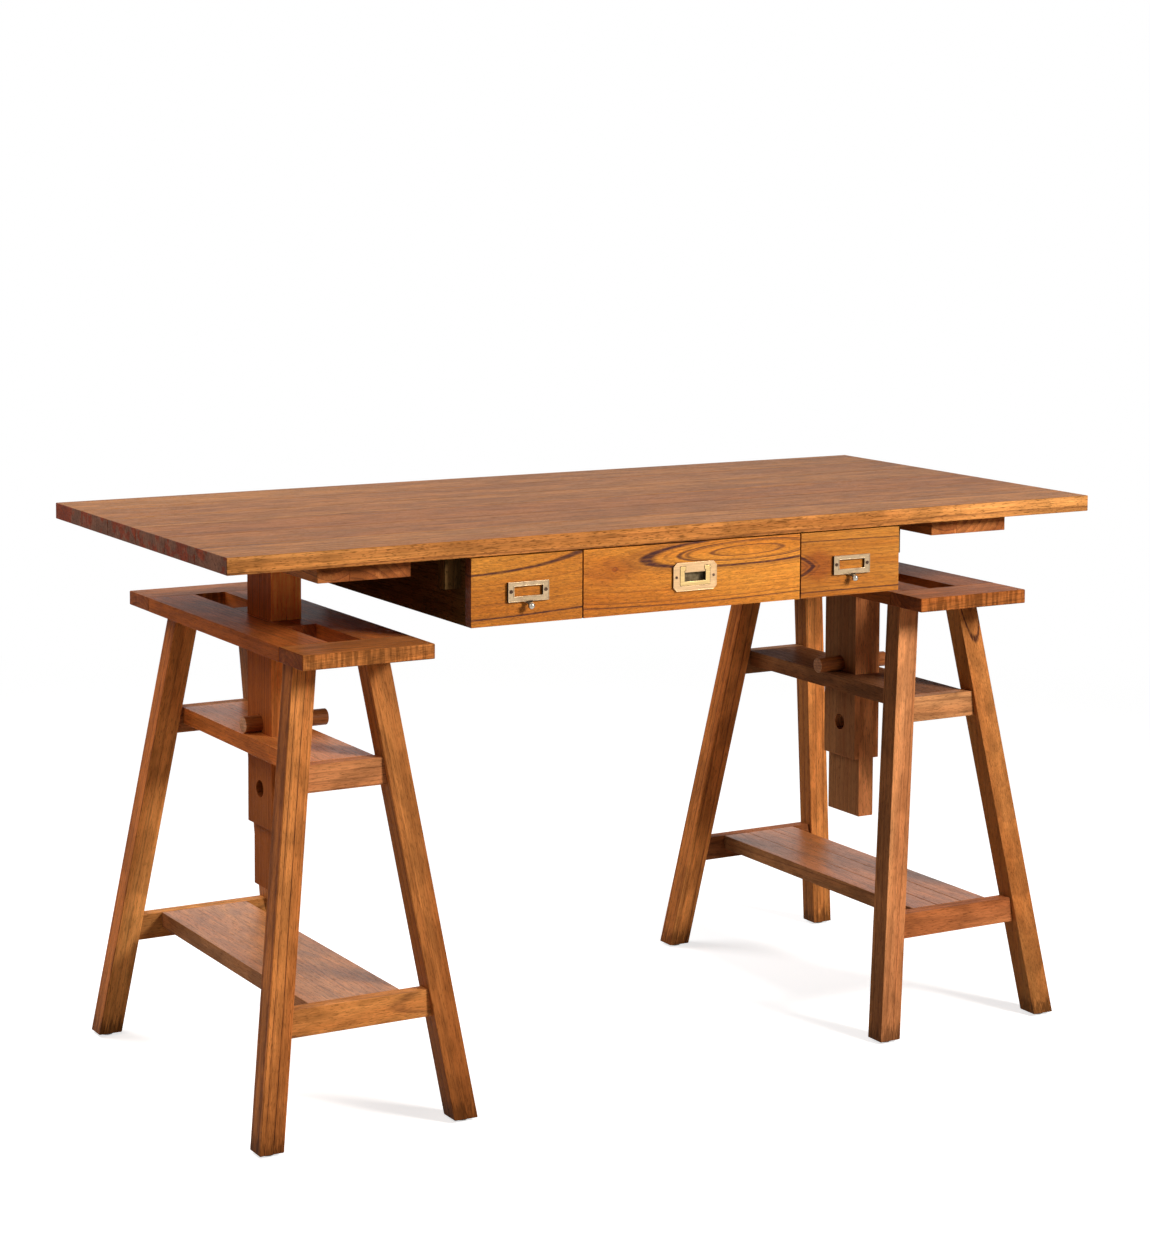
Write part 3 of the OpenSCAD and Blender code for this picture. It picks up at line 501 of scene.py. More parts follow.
WOODS = {
    # The top face's colours are darker than those of the upright faces in edge_wood: the difference is
    # painted shade on the top and painted light on the edges
    "top_wood": dict(light=(0.365, 0.141, 0.035), middle=(0.288, 0.106, 0.026), dark=(0.09, 0.034, 0.018),
                     ends=TOP_ENDS, ring=0.0120, marks=0.70, choosy=2.0, pores=0.28, rough=0.40,
                     shine=0.035, wander=0.020, streaks=0.85, fineness=0.70, bands=1.3, late=(0.72, 0.92),
                     jitter=0.002),
    "edge_wood": dict(light=(0.545, 0.238, 0.070), middle=(0.380, 0.142, 0.036), dark=(0.09, 0.028, 0.014),
                      ends=TOP_ENDS, ring=0.0090, marks=1.0, pores=0.52, shine=0.02,
                      wander=0.012, late=(0.76, 0.92), wear=(0.20, 0.60), jitter=0.002),
    "left_front_wood": dict(FRONT_WOOD, lines=LEFT_LINES),
    "middle_front_wood": dict(FRONT_WOOD, lines=MIDDLE_LINES, knots=MIDDLE_KNOTS),
    "right_front_wood": dict(RIGHT_WOOD, lines=RIGHT_LINES, knots=RIGHT_KNOTS),
    "leg_wood": dict(LEG_WOOD, marks=1.0),
    "foot_wood": dict(LEG_WOOD, marks=1.0, grimy=True),
    "tan_wood": dict(TAN_WOOD, marks=0.6, grimy=True),
    "vee_wood": dict(LEG_WOOD, marks=0.12, grimy=True, lines=VEE_LINES),
    "lined_wood": dict(LEG_WOOD, marks=0.3, grimy=True, lines=LEG_LINES),
    "batten_wood": dict(LEG_WOOD, marks=0.6, ends=BATTEN_ENDS),
    "cap_wood": dict(CAP_WOOD, marks=0.6, shine=0.045),
    "cap_side_wood": dict(CAP_WOOD, marks=0.6, shine=0.012),
    "cap_end_wood": dict(CAP_WOOD, marks=0.6, shine=0.02, ripple=0.50),
    "post_wood": dict(CAP_WOOD, marks=0.25, shine=0.012),
    "tan_post_wood": dict(TAN_WOOD, marks=0.25),
    # Painted light: the left middle shelf has paler colours that stand in for light falling on it from the
    # left
    "pale_shelf_wood": dict(SHELF_WOOD, light=(0.80, 0.340, 0.100), middle=(0.70, 0.275, 0.072),
                            dark=(0.20, 0.070, 0.024), marks=0.40, pores=0.30, rough=0.36, shine=0.25,
                            streaks=0.8),
    "shelf_wood": dict(SHELF_WOOD, light=(0.56, 0.215, 0.060), middle=(0.47, 0.165, 0.040),
                       dark=(0.15, 0.050, 0.018), rough=0.34, shine=0.35, streaks=0.8),
    # Painted shade: the right middle shelf has dark colours for the shadow it lies in
    "dark_shelf_wood": dict(SHELF_WOOD, light=(0.30, 0.120, 0.050), middle=(0.22, 0.085, 0.034),
                            dark=(0.08, 0.028, 0.012), rough=0.40, shine=0.004),
    # Painted shade: the drawer case is given very dark colours for the shade under the top
    "case_wood": dict(light=(0.150, 0.083, 0.030), middle=(0.110, 0.059, 0.021), dark=(0.030, 0.011, 0.004),
                      ends=CASE_ENDS, marks=0.70, rough=0.50, shine=0.0),
    "drawer_wood": dict(light=(0.58, 0.38, 0.19), middle=(0.50, 0.30, 0.13), dark=(0.26, 0.14, 0.06),
                        ends=DRAWER_ENDS, ring=0.0050, marks=0.45, rough=0.60),
    "peg_wood": dict(light=(0.46, 0.165, 0.048), middle=(0.35, 0.115, 0.030), dark=(0.12, 0.040, 0.016),
                     ends=PEG_ENDS, ring=0.0050, marks=0.45, pores=0.35, wander=0.010),
}
# Brasses: bright and tarnished colour, where the tarnish sets in and where it is full, roughness, and
# for those without long brush marks how fine their marks are
BRASSES = {
    "antique_brass": ((0.45, 0.325, 0.195), (0.25, 0.168, 0.105), (0.42, 0.80), 0.34),
    "pale_brass": ((0.60, 0.385, 0.200), (0.50, 0.300, 0.150), (0.50, 0.85), 0.36),
    "bail_brass": ((0.66, 0.450, 0.190), (0.54, 0.340, 0.140), (0.50, 0.85), 0.34),
    # Painted shade: the cup inside the pull's window is a dark brass for the shade it lies in
    "cup_brass": ((0.17, 0.125, 0.070), (0.11, 0.078, 0.042), (0.40, 0.70), 0.60, (300, 300, 300)),
    # Painted shade: near-black brass for the holders' sides and lips, the plate's edges and the bail's sides
    "dark_brass": ((0.075, 0.050, 0.030), (0.030, 0.020, 0.013), (0.40, 0.75), 0.50, (300, 300, 300)),
    # The knob's colour is kept dark partly so that the white world it mirrors reads dark: a painted dark
    # reflection, with the lamps' highlights bright on it
    "knob_brass": ((0.38, 0.345, 0.290), (0.17, 0.145, 0.110), (0.55, 0.90), 0.12, (260, 260, 260)),
    "dark_screw": ((0.17, 0.105, 0.070), (0.070, 0.040, 0.030), (0.30, 0.62), 0.36, (500, 500, 500)),
}
FINISH = {name: wood(name, **look) for name, look in WOODS.items()}
FINISH.update({name: brass(name, *look) for name, look in BRASSES.items()})
FINISH["screw_steel"] = steel("screw_steel")
FINISH["glide_plastic"] = glide_plastic("glide_plastic")


# Boards: a copy of each wooden node, with its outer edges eased and its grain laid

ALONG_X = Vector((1, 0, 0))
ALONG_Y = Vector((0, 1, 0))
ALONG_Z = Vector((0, 0, 1))
SHARP = math.radians(30)
NEARLY_FLAT = math.radians(0.5)
SAME_PLACE = 0.00001
# How far a leg's foot lies out from its top on both axes, and below it, in millimetres
LEG_SPLAY = 97
LEG_DROP = 678
# How squarely a face looks along the grain if it is end grain, and to the left or front if it is there
END_FACING = 0.7
SIDE_FACING = 0.8


def leg_way(node):
    """The way a leg leans, from its top to its foot"""
    side = -1 if node.startswith("left") else 1
    outer = side if "outer" in node else -side
    front = -1 if "front" in node else 1
    return Vector((outer * LEG_SPLAY, front * LEG_SPLAY, -LEG_DROP)).normalized()


def copy_node(node, suffix):
    """A copy of a node of the frame, with its triangles joined into whole faces"""
    take(frame["nodes"][node])
    bpy.ops.object.duplicate()
    piece = bpy.context.active_object
    for key in list(piece.keys()):
        del piece[key]
    piece.parent = None
    piece.name = f"{node}_{suffix}"
    piece.data.name = piece.name
    edit(piece)
    bpy.ops.mesh.select_all(action="SELECT")
    bpy.ops.mesh.remove_doubles(threshold=SAME_PLACE)
    bpy.ops.mesh.dissolve_limited(angle_limit=NEARLY_FLAT)
    done()
    return piece


def ease_edges(piece, width, segments):
    """Rounds a piece's outward edges and marks the faces that this makes"""
    edit(piece)
    bpy.ops.mesh.select_mode(type="EDGE")
    bpy.ops.mesh.select_all(action="DESELECT")
    shape = bmesh.from_edit_mesh(piece.data)
    for edge in shape.edges:
        if edge.is_manifold and edge.is_convex and edge.calc_face_angle() > SHARP:
            edge.select_set(True)
    bmesh.update_edit_mesh(piece.data)
    bpy.ops.mesh.bevel(offset=width, segments=segments, affect="EDGES", clamp_overlap=False)
    shape = bmesh.from_edit_mesh(piece.data)
    mark = shape.faces.layers.float.new("eased")
    for face in shape.faces:
        face[mark] = 1.0 if face.select else 0.0
    bmesh.update_edit_mesh(piece.data)
    done()


def boards_of(mesh):
    """The mesh's separate boards, each a list of its points"""
    leader = list(range(len(mesh.vertices)))

    def first(i):
        while leader[i] != i:
            leader[i] = leader[leader[i]]
            i = leader[i]
        return i

    for edge in mesh.edges:
        a, b = first(edge.vertices[0]), first(edge.vertices[1])
        if a != b:
            leader[max(a, b)] = min(a, b)
    boards = {}
    for i in range(len(mesh.vertices)):
        boards.setdefault(first(i), []).append(i)
    return [boards[key] for key in sorted(boards)]


def middle_of(points):
    low = Vector([min(p[k] for p in points) for k in range(3)])
    high = Vector([max(p[k] for p in points) for k in range(3)])
    return (low + high) / 2


def across_and_through(points, along):
    """The two ways square to the grain: the wider one first"""
    base = ALONG_X if abs(along.dot(ALONG_X)) < 0.9 else ALONG_Y
    one = (base - along * along.dot(base)).normalized()
    two = along.cross(one)

    def reach(way):
        values = [way.dot(p) for p in points]
        return max(values) - min(values)

    return (one, two) if reach(one) >= reach(two) else (two, one)


def heart(cut, width, chance):
    """Where the log's heart lies from the board's middle, and how the grain runs out of the board:
    across, through, its slope across and its slope through"""
    side = chance.choice((-1, 1))
    if cut == "flat":
        return (width * chance.uniform(-0.3, 0.3), side * chance.uniform(0.03, 0.07),
                chance.uniform(-0.02, 0.02), chance.uniform(-0.05, 0.05))
    if cut == "rift":
        return (side * chance.uniform(0.05, 0.10), chance.choice((-1, 1)) * chance.uniform(0.05, 0.09),
                chance.uniform(-0.02, 0.02), chance.uniform(-0.015, 0.015))
    return (side * chance.uniform(0.12, 0.22), chance.uniform(-0.03, 0.03),
            chance.uniform(-0.012, 0.012), chance.uniform(-0.01, 0.01))


def blend(low, high, share):
    """The tone and brightness at this share of the way from low to high"""
    return tuple(a + (b - a) * share for a, b in zip(low, high))


def lay_grain(piece, along, cuts, figures, tones, left, front):
    """Writes the grain attribute board by board, and then the finish. tones give each board's tone at its
    low and its high end, from red-brown at 0 to golden at 1, and its brightness. left and front give the
    faces on those sides their own tone and brightness at the low end, and those at the high end"""
    mesh = piece.data
    chance = random.Random(piece.name)
    grain = mesh.attributes.new("grain", "FLOAT_VECTOR", "POINT")
    ends = [None] * len(mesh.vertices)
    rise = [0.0] * len(mesh.vertices)
    for number, board in enumerate(boards_of(mesh)):
        points = [mesh.vertices[i].co for i in board]
        across, through = across_and_through(points, along)
        middle = middle_of(points)
        width = max(across.dot(p) for p in points) - min(across.dot(p) for p in points)
        cut = cuts[number % len(cuts)]
        heart_across, heart_through, lean, dive = heart(cut, width, chance)
        start = chance.uniform(-4, 4)
        if number in figures:
            heart_across, heart_through, lean, dive, start = figures[number]
        plain = chance.uniform(0.30, 0.75)
        low_tone, high_tone, brightness = tones[number % len(tones)] if tones else (plain, plain, 1.0)
        reach = max(abs(along.dot(p - middle)) for p in points)
        for i in board:
            offset = mesh.vertices[i].co - middle
            u, v, w = along.dot(offset), across.dot(offset), through.dot(offset)
            grain.data[i].vector = (u + start, v - heart_across + lean * u, w - heart_through + dive * u)
            rise[i] = (u / reach + 1) / 2
            ends[i] = ((low_tone, brightness), (high_tone, brightness))
    lay_finish(mesh, along, ends, rise, left, front)


def lay_finish(mesh, along, ends, rise, left, front):
    """Writes the finish attribute. ends hold the tone and brightness at both ends of each point's board,
    and rise holds how far along it the point lies"""
    finish = mesh.attributes.new("finish", "FLOAT_COLOR", "CORNER")
    eased = mesh.attributes["eased"].data
    for face in mesh.polygons:
        end_grain = 1.0 if abs(face.normal.dot(along)) > END_FACING else 0.0
        # A face turned to the left or the front gets its own tone and brightness, partly the wood's own and
        # partly painted light and shade on that side
        own = left if face.normal.x < -SIDE_FACING else front if face.normal.y < -SIDE_FACING else None
        for corner in face.loop_indices:
            point = mesh.loops[corner].vertex_index
            low, high = own or ends[point]
            tone, brightness = blend(low, high, rise[point])
            finish.data[corner].color = (end_grain, eased[face.index].value, tone, brightness)


def make_board(node, along, easing=0.8, segments=2, cuts=("rift",), figures=None, finish=None, tones=(),
               left=None, front=None):
    """easing is the width of the eased edges in millimetres, and segments says how many faces each has"""
    piece = copy_node(node, "wood")
    ease_edges(piece, easing * MM, segments)
    smooth(piece)
    lay_grain(piece, along, cuts, figures or {}, tones, left, front)
    stands_for(piece, node, FINISH[finish or SLOT_OF[node]])
    return piece


def finish_faces(piece, finish, wanted):
    """Gives the faces for which wanted(middle, normal) holds a finish of their own"""
    piece.data.materials.append(FINISH[finish])
    number = len(piece.data.materials) - 1
    for face in piece.data.polygons:
        if wanted(face.center, face.normal):
            face.material_index = number


# Tones and brightness of the boards whose colour the photograph shows. Their brightness, and that of
# the faces turned to the left or the front, is partly the wood's own and partly painted light and shade.
# For a leg: its tone at its top and at its foot, its brightness, and the tone and brightness of its left face
LEG_TONES = {
    "left_front_outer": (1.00, 0.30, 0.93, 0.30, 0.90),
    "left_front_inner": (0.60, 0.55, 0.72, 0.90, 1.05),
    "left_back_outer": (1.50, 1.50, 0.84, 0.15, 1.12),
    "left_back_inner": (0.90, 1.00, 1.00, 0.95, 1.00),
    "right_front_inner": (0.55, 0.65, 1.06, 0.40, 0.74),
    "right_front_outer": (1.10, 1.00, 0.63, 1.60, 0.90),
    "right_back_inner": (0.70, 0.80, 1.08, 0.15, 1.12),
    "right_back_outer": (0.80, 0.90, 1.00, 0.85, 1.00),
}
# For the left side and the front of a post: tone and brightness at its foot, and those at its head.
# The brightness paints light and shade along the post: lighter towards the left post's head, under
# the top, and darker towards the right post's head
POST_SIDES = {"left": ((0.30, 0.90), (-0.10, 2.10)), "right": ((0.70, 1.05), (0.70, 0.75))}
POST_FRONTS = {"left": ((-0.40, 0.50), (3.40, 1.60)), "right": ((0.20, 1.35), (-0.05, 1.05))}
# For a drawer front: tone at its left and right end, and brightness
DRAWER_TONES = {"left": (0.50, 0.50, 1.02), "middle": (0.25, 0.65, 1.10), "right": (0.0, 0.10, 1.11)}
# For the two boards of each batten: tone at both ends and brightness
BATTEN_TONES = ((0.6, 0.6, 0.93), (0.4, 0.4, 0.93))
# For the others: tone and brightness
POST_TONES = {"left": (0.25, 0.92), "right": (-0.05, 1.35)}
CAP_TONES = {"left": (0.50, 1.25), "right": (0.55, 0.68)}
CAP_SIDES = {"left": (0.20, 1.28), "right": (0.20, 1.0)}
END_TONES = {"left": (1.45, 0.90), "right": (1.00, 0.85)}
SHELF_TONES = {"left_mid": (0.15, 1.45), "left_low": (0.70, 0.86),
               "right_mid": (0.60, 0.98), "right_low": (0.10, 0.93)}
SHELF_SIDES = {"left_mid": (0.50, 1.60), "left_low": (1.20, 0.62),
               "right_mid": (0.50, 0.50), "right_low": (1.25, 0.62)}
RAIL_TONES = {"left_mid": (0.85, 1.10), "left_low": (1.40, 0.85),
              "right_mid": (1.10, 0.78), "right_low": (0.10, 1.0)}

# The figure of two legs and of the drawer fronts: where the log's heart lies across and through from the
# board's middle, how the grain leans across and dives through, and where in the log the board starts
LEG_FIGURES = {
    "right_front_outer": (0.003, -0.050, 0.0, 0.17, 0.0),
    "left_front_outer": (-0.100, 0.0, 0.0, 0.0, 0.0),
}
DRAWER_FIGURES = {
    "left": (0.060, 0.011, 0.0, -0.164, 0.0),
    "middle": (0.0310, 0.0025, -0.02, 0.120, 0.0),
    "right": (-0.150, 0.020, 0.02, 0.05, 1.0),
}

# The woods of single boards. Other legs are of foot_wood, other rails and shelf sides of tan_wood
LEG_FINISH = {"right_front_outer": "vee_wood", "left_front_outer": "lined_wood",
              "right_front_inner": "tan_wood"}
# The right middle shelf's wood is darkened as painted shade
SHELF_FINISH = {"left_mid": "pale_shelf_wood", "right_mid": "dark_shelf_wood",
                "left_low": "shelf_wood", "right_low": "shelf_wood"}
SHELF_SIDE_FINISH = {"left_mid": "cap_side_wood"}
RAIL_FINISH = {"left_low": "leg_wood"}
POST_FINISH = {"left": "post_wood", "right": "tan_post_wood"}


def even(tone, brightness):
    """The same tone at both ends of every board"""
    return ((tone, tone, brightness),)


def same_at_both_ends(tone, brightness):
    """The same tone and brightness at both ends of a face"""
    return ((tone, brightness), (tone, brightness))


def upright(middle, normal):
    return abs(normal.z) < 0.5


def make_leg(name):
    top_tone, foot_tone, brightness, left_tone, left_brightness = LEG_TONES[name]
    figures = {0: LEG_FIGURES[name]} if name in LEG_FIGURES else None
    make_board(name + "_leg", leg_way(name), 1.2, 3, figures=figures,
               finish=LEG_FINISH.get(name, "foot_wood"), tones=((top_tone, foot_tone, brightness),),
               left=same_at_both_ends(left_tone, left_brightness))


def make_trestle(side):
    stiles = make_board(side + "_cap_stiles", ALONG_Y, 1.0, 2, ("rift", "quarter"),
                        tones=even(*CAP_TONES[side]), left=same_at_both_ends(*CAP_SIDES[side]))
    finish_faces(stiles, "cap_side_wood", lambda middle, normal: normal.z < 0.5)
    ends = make_board(side + "_cap_ends", ALONG_X, 1.5, 3, ("flat",), tones=even(*END_TONES[side]))
    finish_faces(ends, "cap_end_wood", lambda middle, normal: abs(normal.y) > 0.5)
    finish_faces(ends, "cap_side_wood", lambda middle, normal: abs(normal.x) > 0.5)
    make_board(side + "_cap_fillers", ALONG_Y, 0.6)
    for row in ("front", "back"):
        for place in ("outer", "inner"):
            make_leg(f"{side}_{row}_{place}")
    for height, shelf_easing, shelf_cuts, rail_cut in (
            ("mid", 0.8, ("quarter",), "rift"), ("low", 1.4, ("flat", "rift", "rift"), "flat")):
        name = f"{side}_{height}"
        shelf = make_board(name + "_shelf", ALONG_Y, shelf_easing, 2, shelf_cuts, finish=SHELF_FINISH[name],
                           tones=even(*SHELF_TONES[name]), left=same_at_both_ends(*SHELF_SIDES[name]))
        finish_faces(shelf, SHELF_SIDE_FINISH.get(name, "tan_wood"), upright)
        make_board(name + "_rails", ALONG_X, 1.0, 2, (rail_cut,), finish=RAIL_FINISH.get(name, "tan_wood"),
                   tones=even(*RAIL_TONES[name]))


def make_lifting_top():
    tabletop = make_board("tabletop", ALONG_X, 1.2, 3, ("rift", "quarter", "rift", "quarter"))
    # The upright faces take edge_wood, whose lighter colours are partly painted light
    finish_faces(tabletop, "edge_wood", upright)
    for side in ("left", "right"):
        make_board(side + "_batten", ALONG_Y, 0.8, 2, ("flat", "rift"), finish="batten_wood",
                   tones=BATTEN_TONES)
        for part, cuts in (("core", ("rift",)), ("cheeks", ("quarter", "rift"))):
            make_board(f"{side}_post_{part}", ALONG_Z, 0.8, 2, cuts, finish=POST_FINISH[side],
                       tones=even(*POST_TONES[side]), left=POST_SIDES[side], front=POST_FRONTS[side])
        make_board(side + "_peg", ALONG_X, 1.0, 3, ("flat",))
    for node, along in (("case_sides", ALONG_Y), ("case_dividers", ALONG_Y), ("case_back", ALONG_X),
                        ("case_bottom", ALONG_X), ("hanger_blocks", ALONG_Z)):
        make_board(node, along)


def make_drawer(place):
    drawer = place + "_drawer_"
    make_board(drawer + "front", ALONG_X, 0.8, 2, ("flat",), figures={0: DRAWER_FIGURES[place]},
               finish=place + "_front_wood", tones=(DRAWER_TONES[place],))
    make_board(drawer + "sides", ALONG_Y, 0.6)
    make_board(drawer + "back", ALONG_X, 0.6)
    make_board(drawer + "bottom", ALONG_X, 0.4)


def make_boards():
    make_lifting_top()
    for side in ("left", "right"):
        make_trestle(side)
    for place in ("left", "middle", "right"):
        make_drawer(place)


# Brassware

FRONT_FACE = -0.340

# Label holders: the field sunk into their face, the rim that stands in it round the window, and screws
HOLDER_X = 0.2835
HOLDER_FACE = FRONT_FACE - 0.0045
HOLDER_LIP_TOP = 0.7556
FIELD_HEIGHT = 0.7705
FIELD_SIZE = (0.0646, 0.0266)
FIELD_DEPTH = 0.0005
RIM_HEIGHT = 0.7712
RIM_SIZE = (0.0494, 0.0168)
HOLDER_SCREW_X = 0.0285
HOLDER_SCREW_HEIGHT = 0.7715
HOLDER_HEAD = HOLDER_FACE - 0.0014
HOLDER_SLOT_DEPTH = 0.0007

# Middle pull plate: the field sunk into its face, and screws
PLATE_FACE = FRONT_FACE - 0.0032
PLATE_HEIGHT = 0.772
PLATE_FIELD_SIZE = (0.0736, 0.0406)
PLATE_FIELD_DEPTH = 0.0004
PLATE_FIELD_CORNER = 0.0055
PLATE_SCREW_X = 0.0325
PLATE_HEAD = PLATE_FACE - 0.0006
PLATE_SLOT_DEPTH = 0.0004
# Where the painted shade on the plate's edges and on the bail's sides begins, and where the cup begins
PLATE_EDGE_FROM = PLATE_FACE + 0.0006
BAIL_SIDE_FROM = PLATE_FACE + 0.0004
CUP_FROM = FRONT_FACE + 0.0005

# Screwdriver slots
SLOT_WIDTH = 0.0008
SLOT_LENGTH = 0.008


def block(name, middle, size):
    bpy.ops.mesh.primitive_cube_add(size=1, location=middle)
    piece = bpy.context.active_object
    piece.scale = size
    return settle(piece, name)


def cut_away(piece, cutter):
    apply_modifier(piece, "BOOLEAN", object=cutter, operation="DIFFERENCE", solver="EXACT")
    bpy.data.objects.remove(cutter)


def sink_front(piece, middle, outline, drop, window=None, corner=0.0):
    """Sinks a plate's front face by drop inside the outline, and leaves it standing round a window"""
    cutter = block("front_cutter", middle, (outline[0], 2 * drop, outline[1]))
    if corner:
        edit(cutter)
        bpy.ops.mesh.select_mode(type="EDGE")
        bpy.ops.mesh.select_all(action="DESELECT")
        shape = bmesh.from_edit_mesh(cutter.data)
        for edge in shape.edges:
            if abs(edge.verts[0].co.y - edge.verts[1].co.y) > drop:
                edge.select_set(True)
        bmesh.update_edit_mesh(cutter.data)
        bpy.ops.mesh.bevel(offset=corner, segments=1, affect="EDGES")
        done()
    if window:
        place, size = window
        cut_away(cutter, block("window_cutter", place, (size[0], 4 * drop, size[1])))
    cut_away(piece, cutter)


def slot_heads(piece, places, head, depth):
    """Cuts a screwdriver slot across each head: places are x, z and the slot's turn"""
    cutters = []
    for x, z, turn in places:
        bpy.ops.mesh.primitive_cube_add(size=1, location=(x, head, z), rotation=(0, math.radians(turn), 0))
        cutter = bpy.context.active_object
        cutter.scale = (SLOT_LENGTH, 2 * depth, SLOT_WIDTH)
        cutters.append(settle(cutter, "slot_cutter"))
    cut_away(piece, join(cutters, "slot_cutter"))


def finish_metal(piece, node, easing, finish):
    ease_edges(piece, easing * MM, 2)
    smooth(piece)
    stands_for(piece, node, FINISH[finish])


def make_holder(side):
    middle_x = -HOLDER_X if side == "left" else HOLDER_X
    node = side + "_label_holder"
    holder = copy_node(node, "metal")
    sink_front(holder, (middle_x, HOLDER_FACE, FIELD_HEIGHT), FIELD_SIZE, FIELD_DEPTH,
               window=((middle_x, HOLDER_FACE, RIM_HEIGHT), RIM_SIZE))
    finish_metal(holder, node, 0.3, "antique_brass")
    # The holder's left and right sides and its lip are painted dark as shade
    finish_faces(holder, "dark_brass",
                 lambda middle, normal: abs(normal.x) > 0.85 or middle.z < HOLDER_LIP_TOP)
    finish_metal(copy_node(side + "_knob", "metal"), side + "_knob", 0.1, "knob_brass")
    screws = copy_node(side + "_holder_screws", "metal")
    slots = ((middle_x - HOLDER_SCREW_X, HOLDER_SCREW_HEIGHT, 25),
             (middle_x + HOLDER_SCREW_X, HOLDER_SCREW_HEIGHT, -60))
    slot_heads(screws, slots, HOLDER_HEAD, HOLDER_SLOT_DEPTH)
    finish_metal(screws, side + "_holder_screws", 0.12, "dark_screw")


def make_flush_pull():
    plate = copy_node("middle_pull_plate", "metal")
    sink_front(plate, (0, PLATE_FACE, PLATE_HEIGHT), PLATE_FIELD_SIZE, PLATE_FIELD_DEPTH,
               corner=PLATE_FIELD_CORNER)
    finish_metal(plate, "middle_pull_plate", 0.3, "pale_brass")
    # The plate's edges behind its face are painted dark as shade
    finish_faces(plate, "dark_brass",
                 lambda middle, normal: abs(normal.y) < 0.3 and middle.y > PLATE_EDGE_FROM)
    # The cup behind the window is painted dark as shade
    finish_faces(plate, "cup_brass", lambda middle, normal: middle.y > CUP_FROM)
    bail = copy_node("middle_pull_bail", "metal")
    finish_metal(bail, "middle_pull_bail", 0.35, "bail_brass")
    # The bail's sides are painted dark as shade
    finish_faces(bail, "dark_brass",
                 lambda middle, normal: abs(normal.y) < 0.3 and middle.y > BAIL_SIDE_FROM)
    screws = copy_node("middle_pull_screws", "metal")
    slots = ((-PLATE_SCREW_X, PLATE_HEIGHT, 70), (PLATE_SCREW_X, PLATE_HEIGHT, 10))
    slot_heads(screws, slots, PLATE_HEAD, PLATE_SLOT_DEPTH)
    finish_metal(screws, "middle_pull_screws", 0.1, "dark_screw")


def make_small_parts():
    for side in ("left", "right"):
        make_holder(side)
        glides = side + "_glides"
        finish_metal(copy_node(glides, "pads"), glides, 0.6, "glide_plastic")
    make_flush_pull()
    top_screws = frame["nodes"]["top_screws"]
    top_screws.data.materials.clear()
    top_screws.data.materials.append(FINISH["screw_steel"])


# Studio

# Lights: place, the point that they are aimed at, width and height, power in watts, and colour
LIGHTS = {
    "key_light": ((1.35, -2.65, 2.0), (0.0, 0.0, 0.6), (0.7, 0.7), 106, (1.0, 0.97, 0.93)),
    "back_light": ((-1.6, 1.6, 2.6), (-0.2, 0.0, 0.6), (1.8, 1.8), 50, (1.0, 1.0, 1.0)),
    "left_light": ((-2.1, -0.5, 2.1), (-0.6, 0.0, 0.5), (1.2, 1.2), 9, (1.0, 0.86, 0.72)),
}

# The floor lies just under the glides, and turns from lit to plain white between these distances
FLOOR_SIZE = 40
FLOOR_DROP = 0.0002
LIT_AS_FAR_AS = 1.6
WHITE_FROM = 3.6
# Its colour where it is lit, the light that it adds there, and the colour of the light it passes on
FLOOR_COLOUR = (0.80, 0.80, 0.80)
FLOOR_LIFT = 0.72
PASSED_COLOUR = (0.46, 0.44, 0.41)
# How strongly the world lights the object, though the eye sees it plain white
SOFT_WORLD = 0.10
WHITE = (1, 1, 1)


def area_light(name, place, aim, size, power, colour):
    bpy.ops.object.light_add(type="AREA", location=place)
    lamp = bpy.context.active_object
    lamp.name = name
    lamp.data.shape = "RECTANGLE"
    lamp.data.size, lamp.data.size_y = size
    lamp.data.energy = power
    lamp.data.color = colour
    lamp.visible_camera = False
    lamp.rotation_euler = (Vector(aim) - Vector(place)).to_track_quat("-Z", "Y").to_euler()


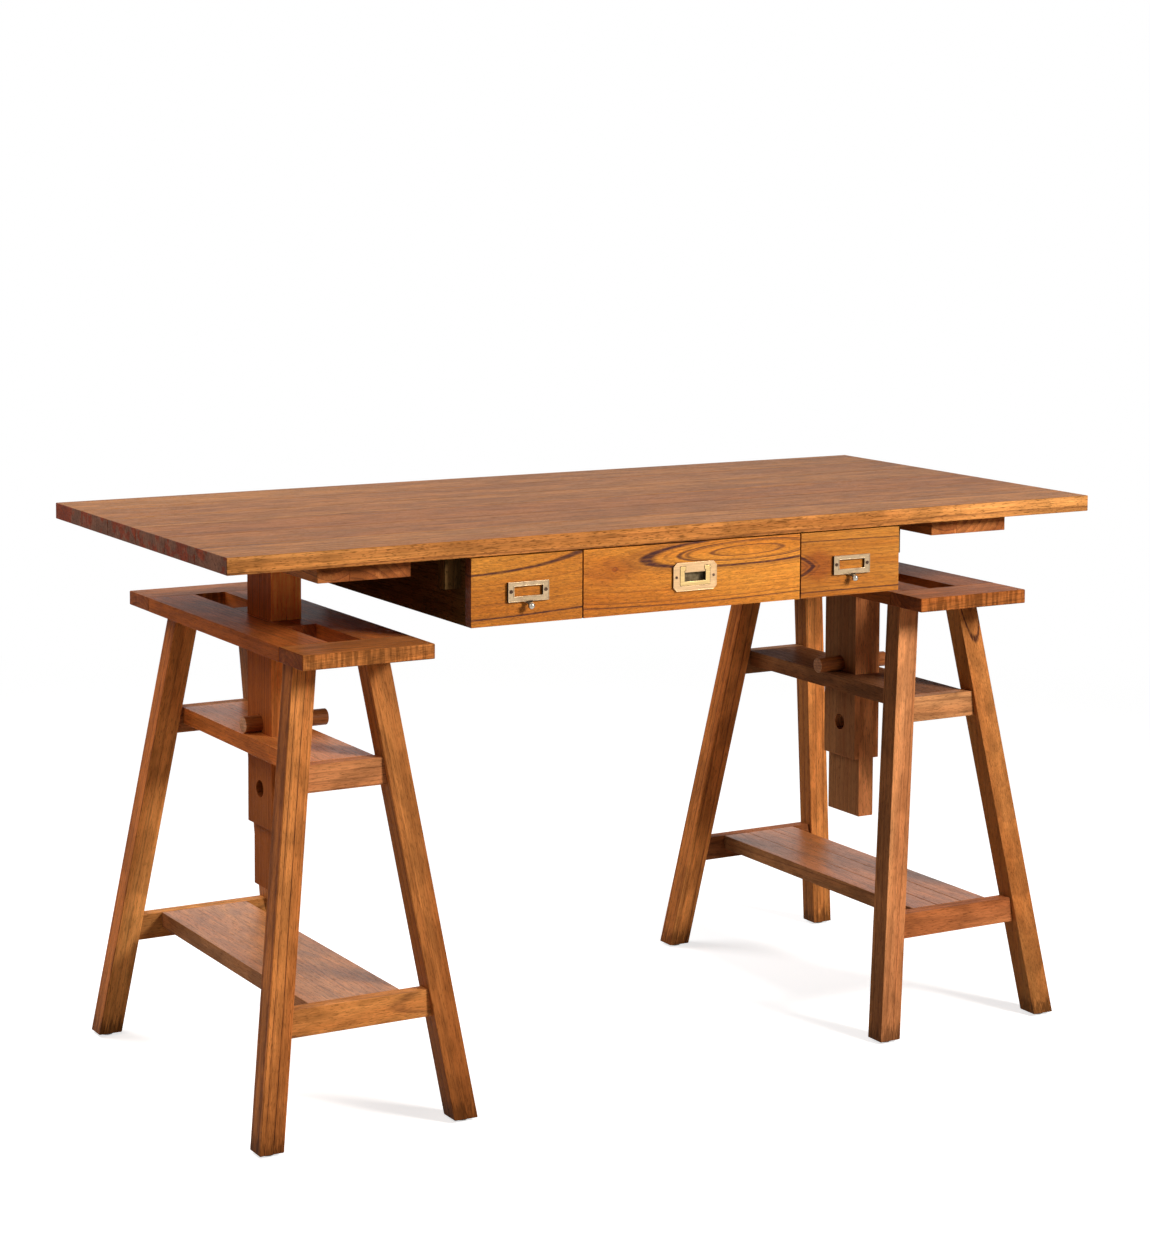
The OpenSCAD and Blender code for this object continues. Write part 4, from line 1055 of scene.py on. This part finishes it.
def seen_by_eye(tree):
    """1 where the camera, a mirror or glass looks, and 0 for light that is passed on"""
    path = add(tree, "ShaderNodeLightPath")
    eye = maths(tree, "MAXIMUM", path.outputs["Is Camera Ray"], path.outputs["Is Glossy Ray"])
    return maths(tree, "MAXIMUM", eye, path.outputs["Is Transmission Ray"])


def make_floor():
    bpy.ops.mesh.primitive_plane_add(size=FLOOR_SIZE, location=(0, 0, -FLOOR_DROP))
    floor = settle(bpy.context.active_object, "studio_floor")
    material, tree = new_material("pale_floor")
    place = add(tree, "ShaderNodeTexCoord").outputs["Object"]
    far_off = spread(tree, vectors(tree, "LENGTH", place), LIT_AS_FAR_AS, WHITE_FROM)
    white = add(tree, "ShaderNodeEmission", {"Color": rgba(WHITE), "Strength": 1.0})
    lift = add(tree, "ShaderNodeEmission", {"Color": rgba(WHITE), "Strength": FLOOR_LIFT})
    lit = add(tree, "ShaderNodeBsdfDiffuse", {"Color": rgba(FLOOR_COLOUR)})
    near = add(tree, "ShaderNodeAddShader", {0: lit.outputs[0], 1: lift.outputs[0]})
    shown = add(tree, "ShaderNodeMixShader", {0: far_off, 1: near.outputs[0], 2: white.outputs[0]})
    passed = add(tree, "ShaderNodeBsdfDiffuse", {"Color": rgba(PASSED_COLOUR)})
    floor_shader = add(tree, "ShaderNodeMixShader",
                       {0: seen_by_eye(tree), 1: passed.outputs[0], 2: shown.outputs[0]})
    add(tree, "ShaderNodeOutputMaterial", {"Surface": floor_shader.outputs[0]})
    floor.data.materials.append(material)


def make_world():
    world = bpy.data.worlds.new("studio")
    bpy.context.scene.world = world
    world.use_nodes = True
    tree = world.node_tree
    tree.nodes.clear()
    shown = add(tree, "ShaderNodeBackground", {"Color": rgba(WHITE), "Strength": 1.0})
    soft = add(tree, "ShaderNodeBackground", {"Color": rgba(WHITE), "Strength": SOFT_WORLD})
    sky = add(tree, "ShaderNodeMixShader", {0: seen_by_eye(tree), 1: soft.outputs[0], 2: shown.outputs[0]})
    add(tree, "ShaderNodeOutputWorld", {"Surface": sky.outputs[0]})


def make_studio():
    make_floor()
    make_world()
    for name, light in LIGHTS.items():
        area_light(name, *light)
    bpy.context.scene.view_settings.view_transform = "Standard"


make_camera()
make_boards()
make_small_parts()
make_studio()
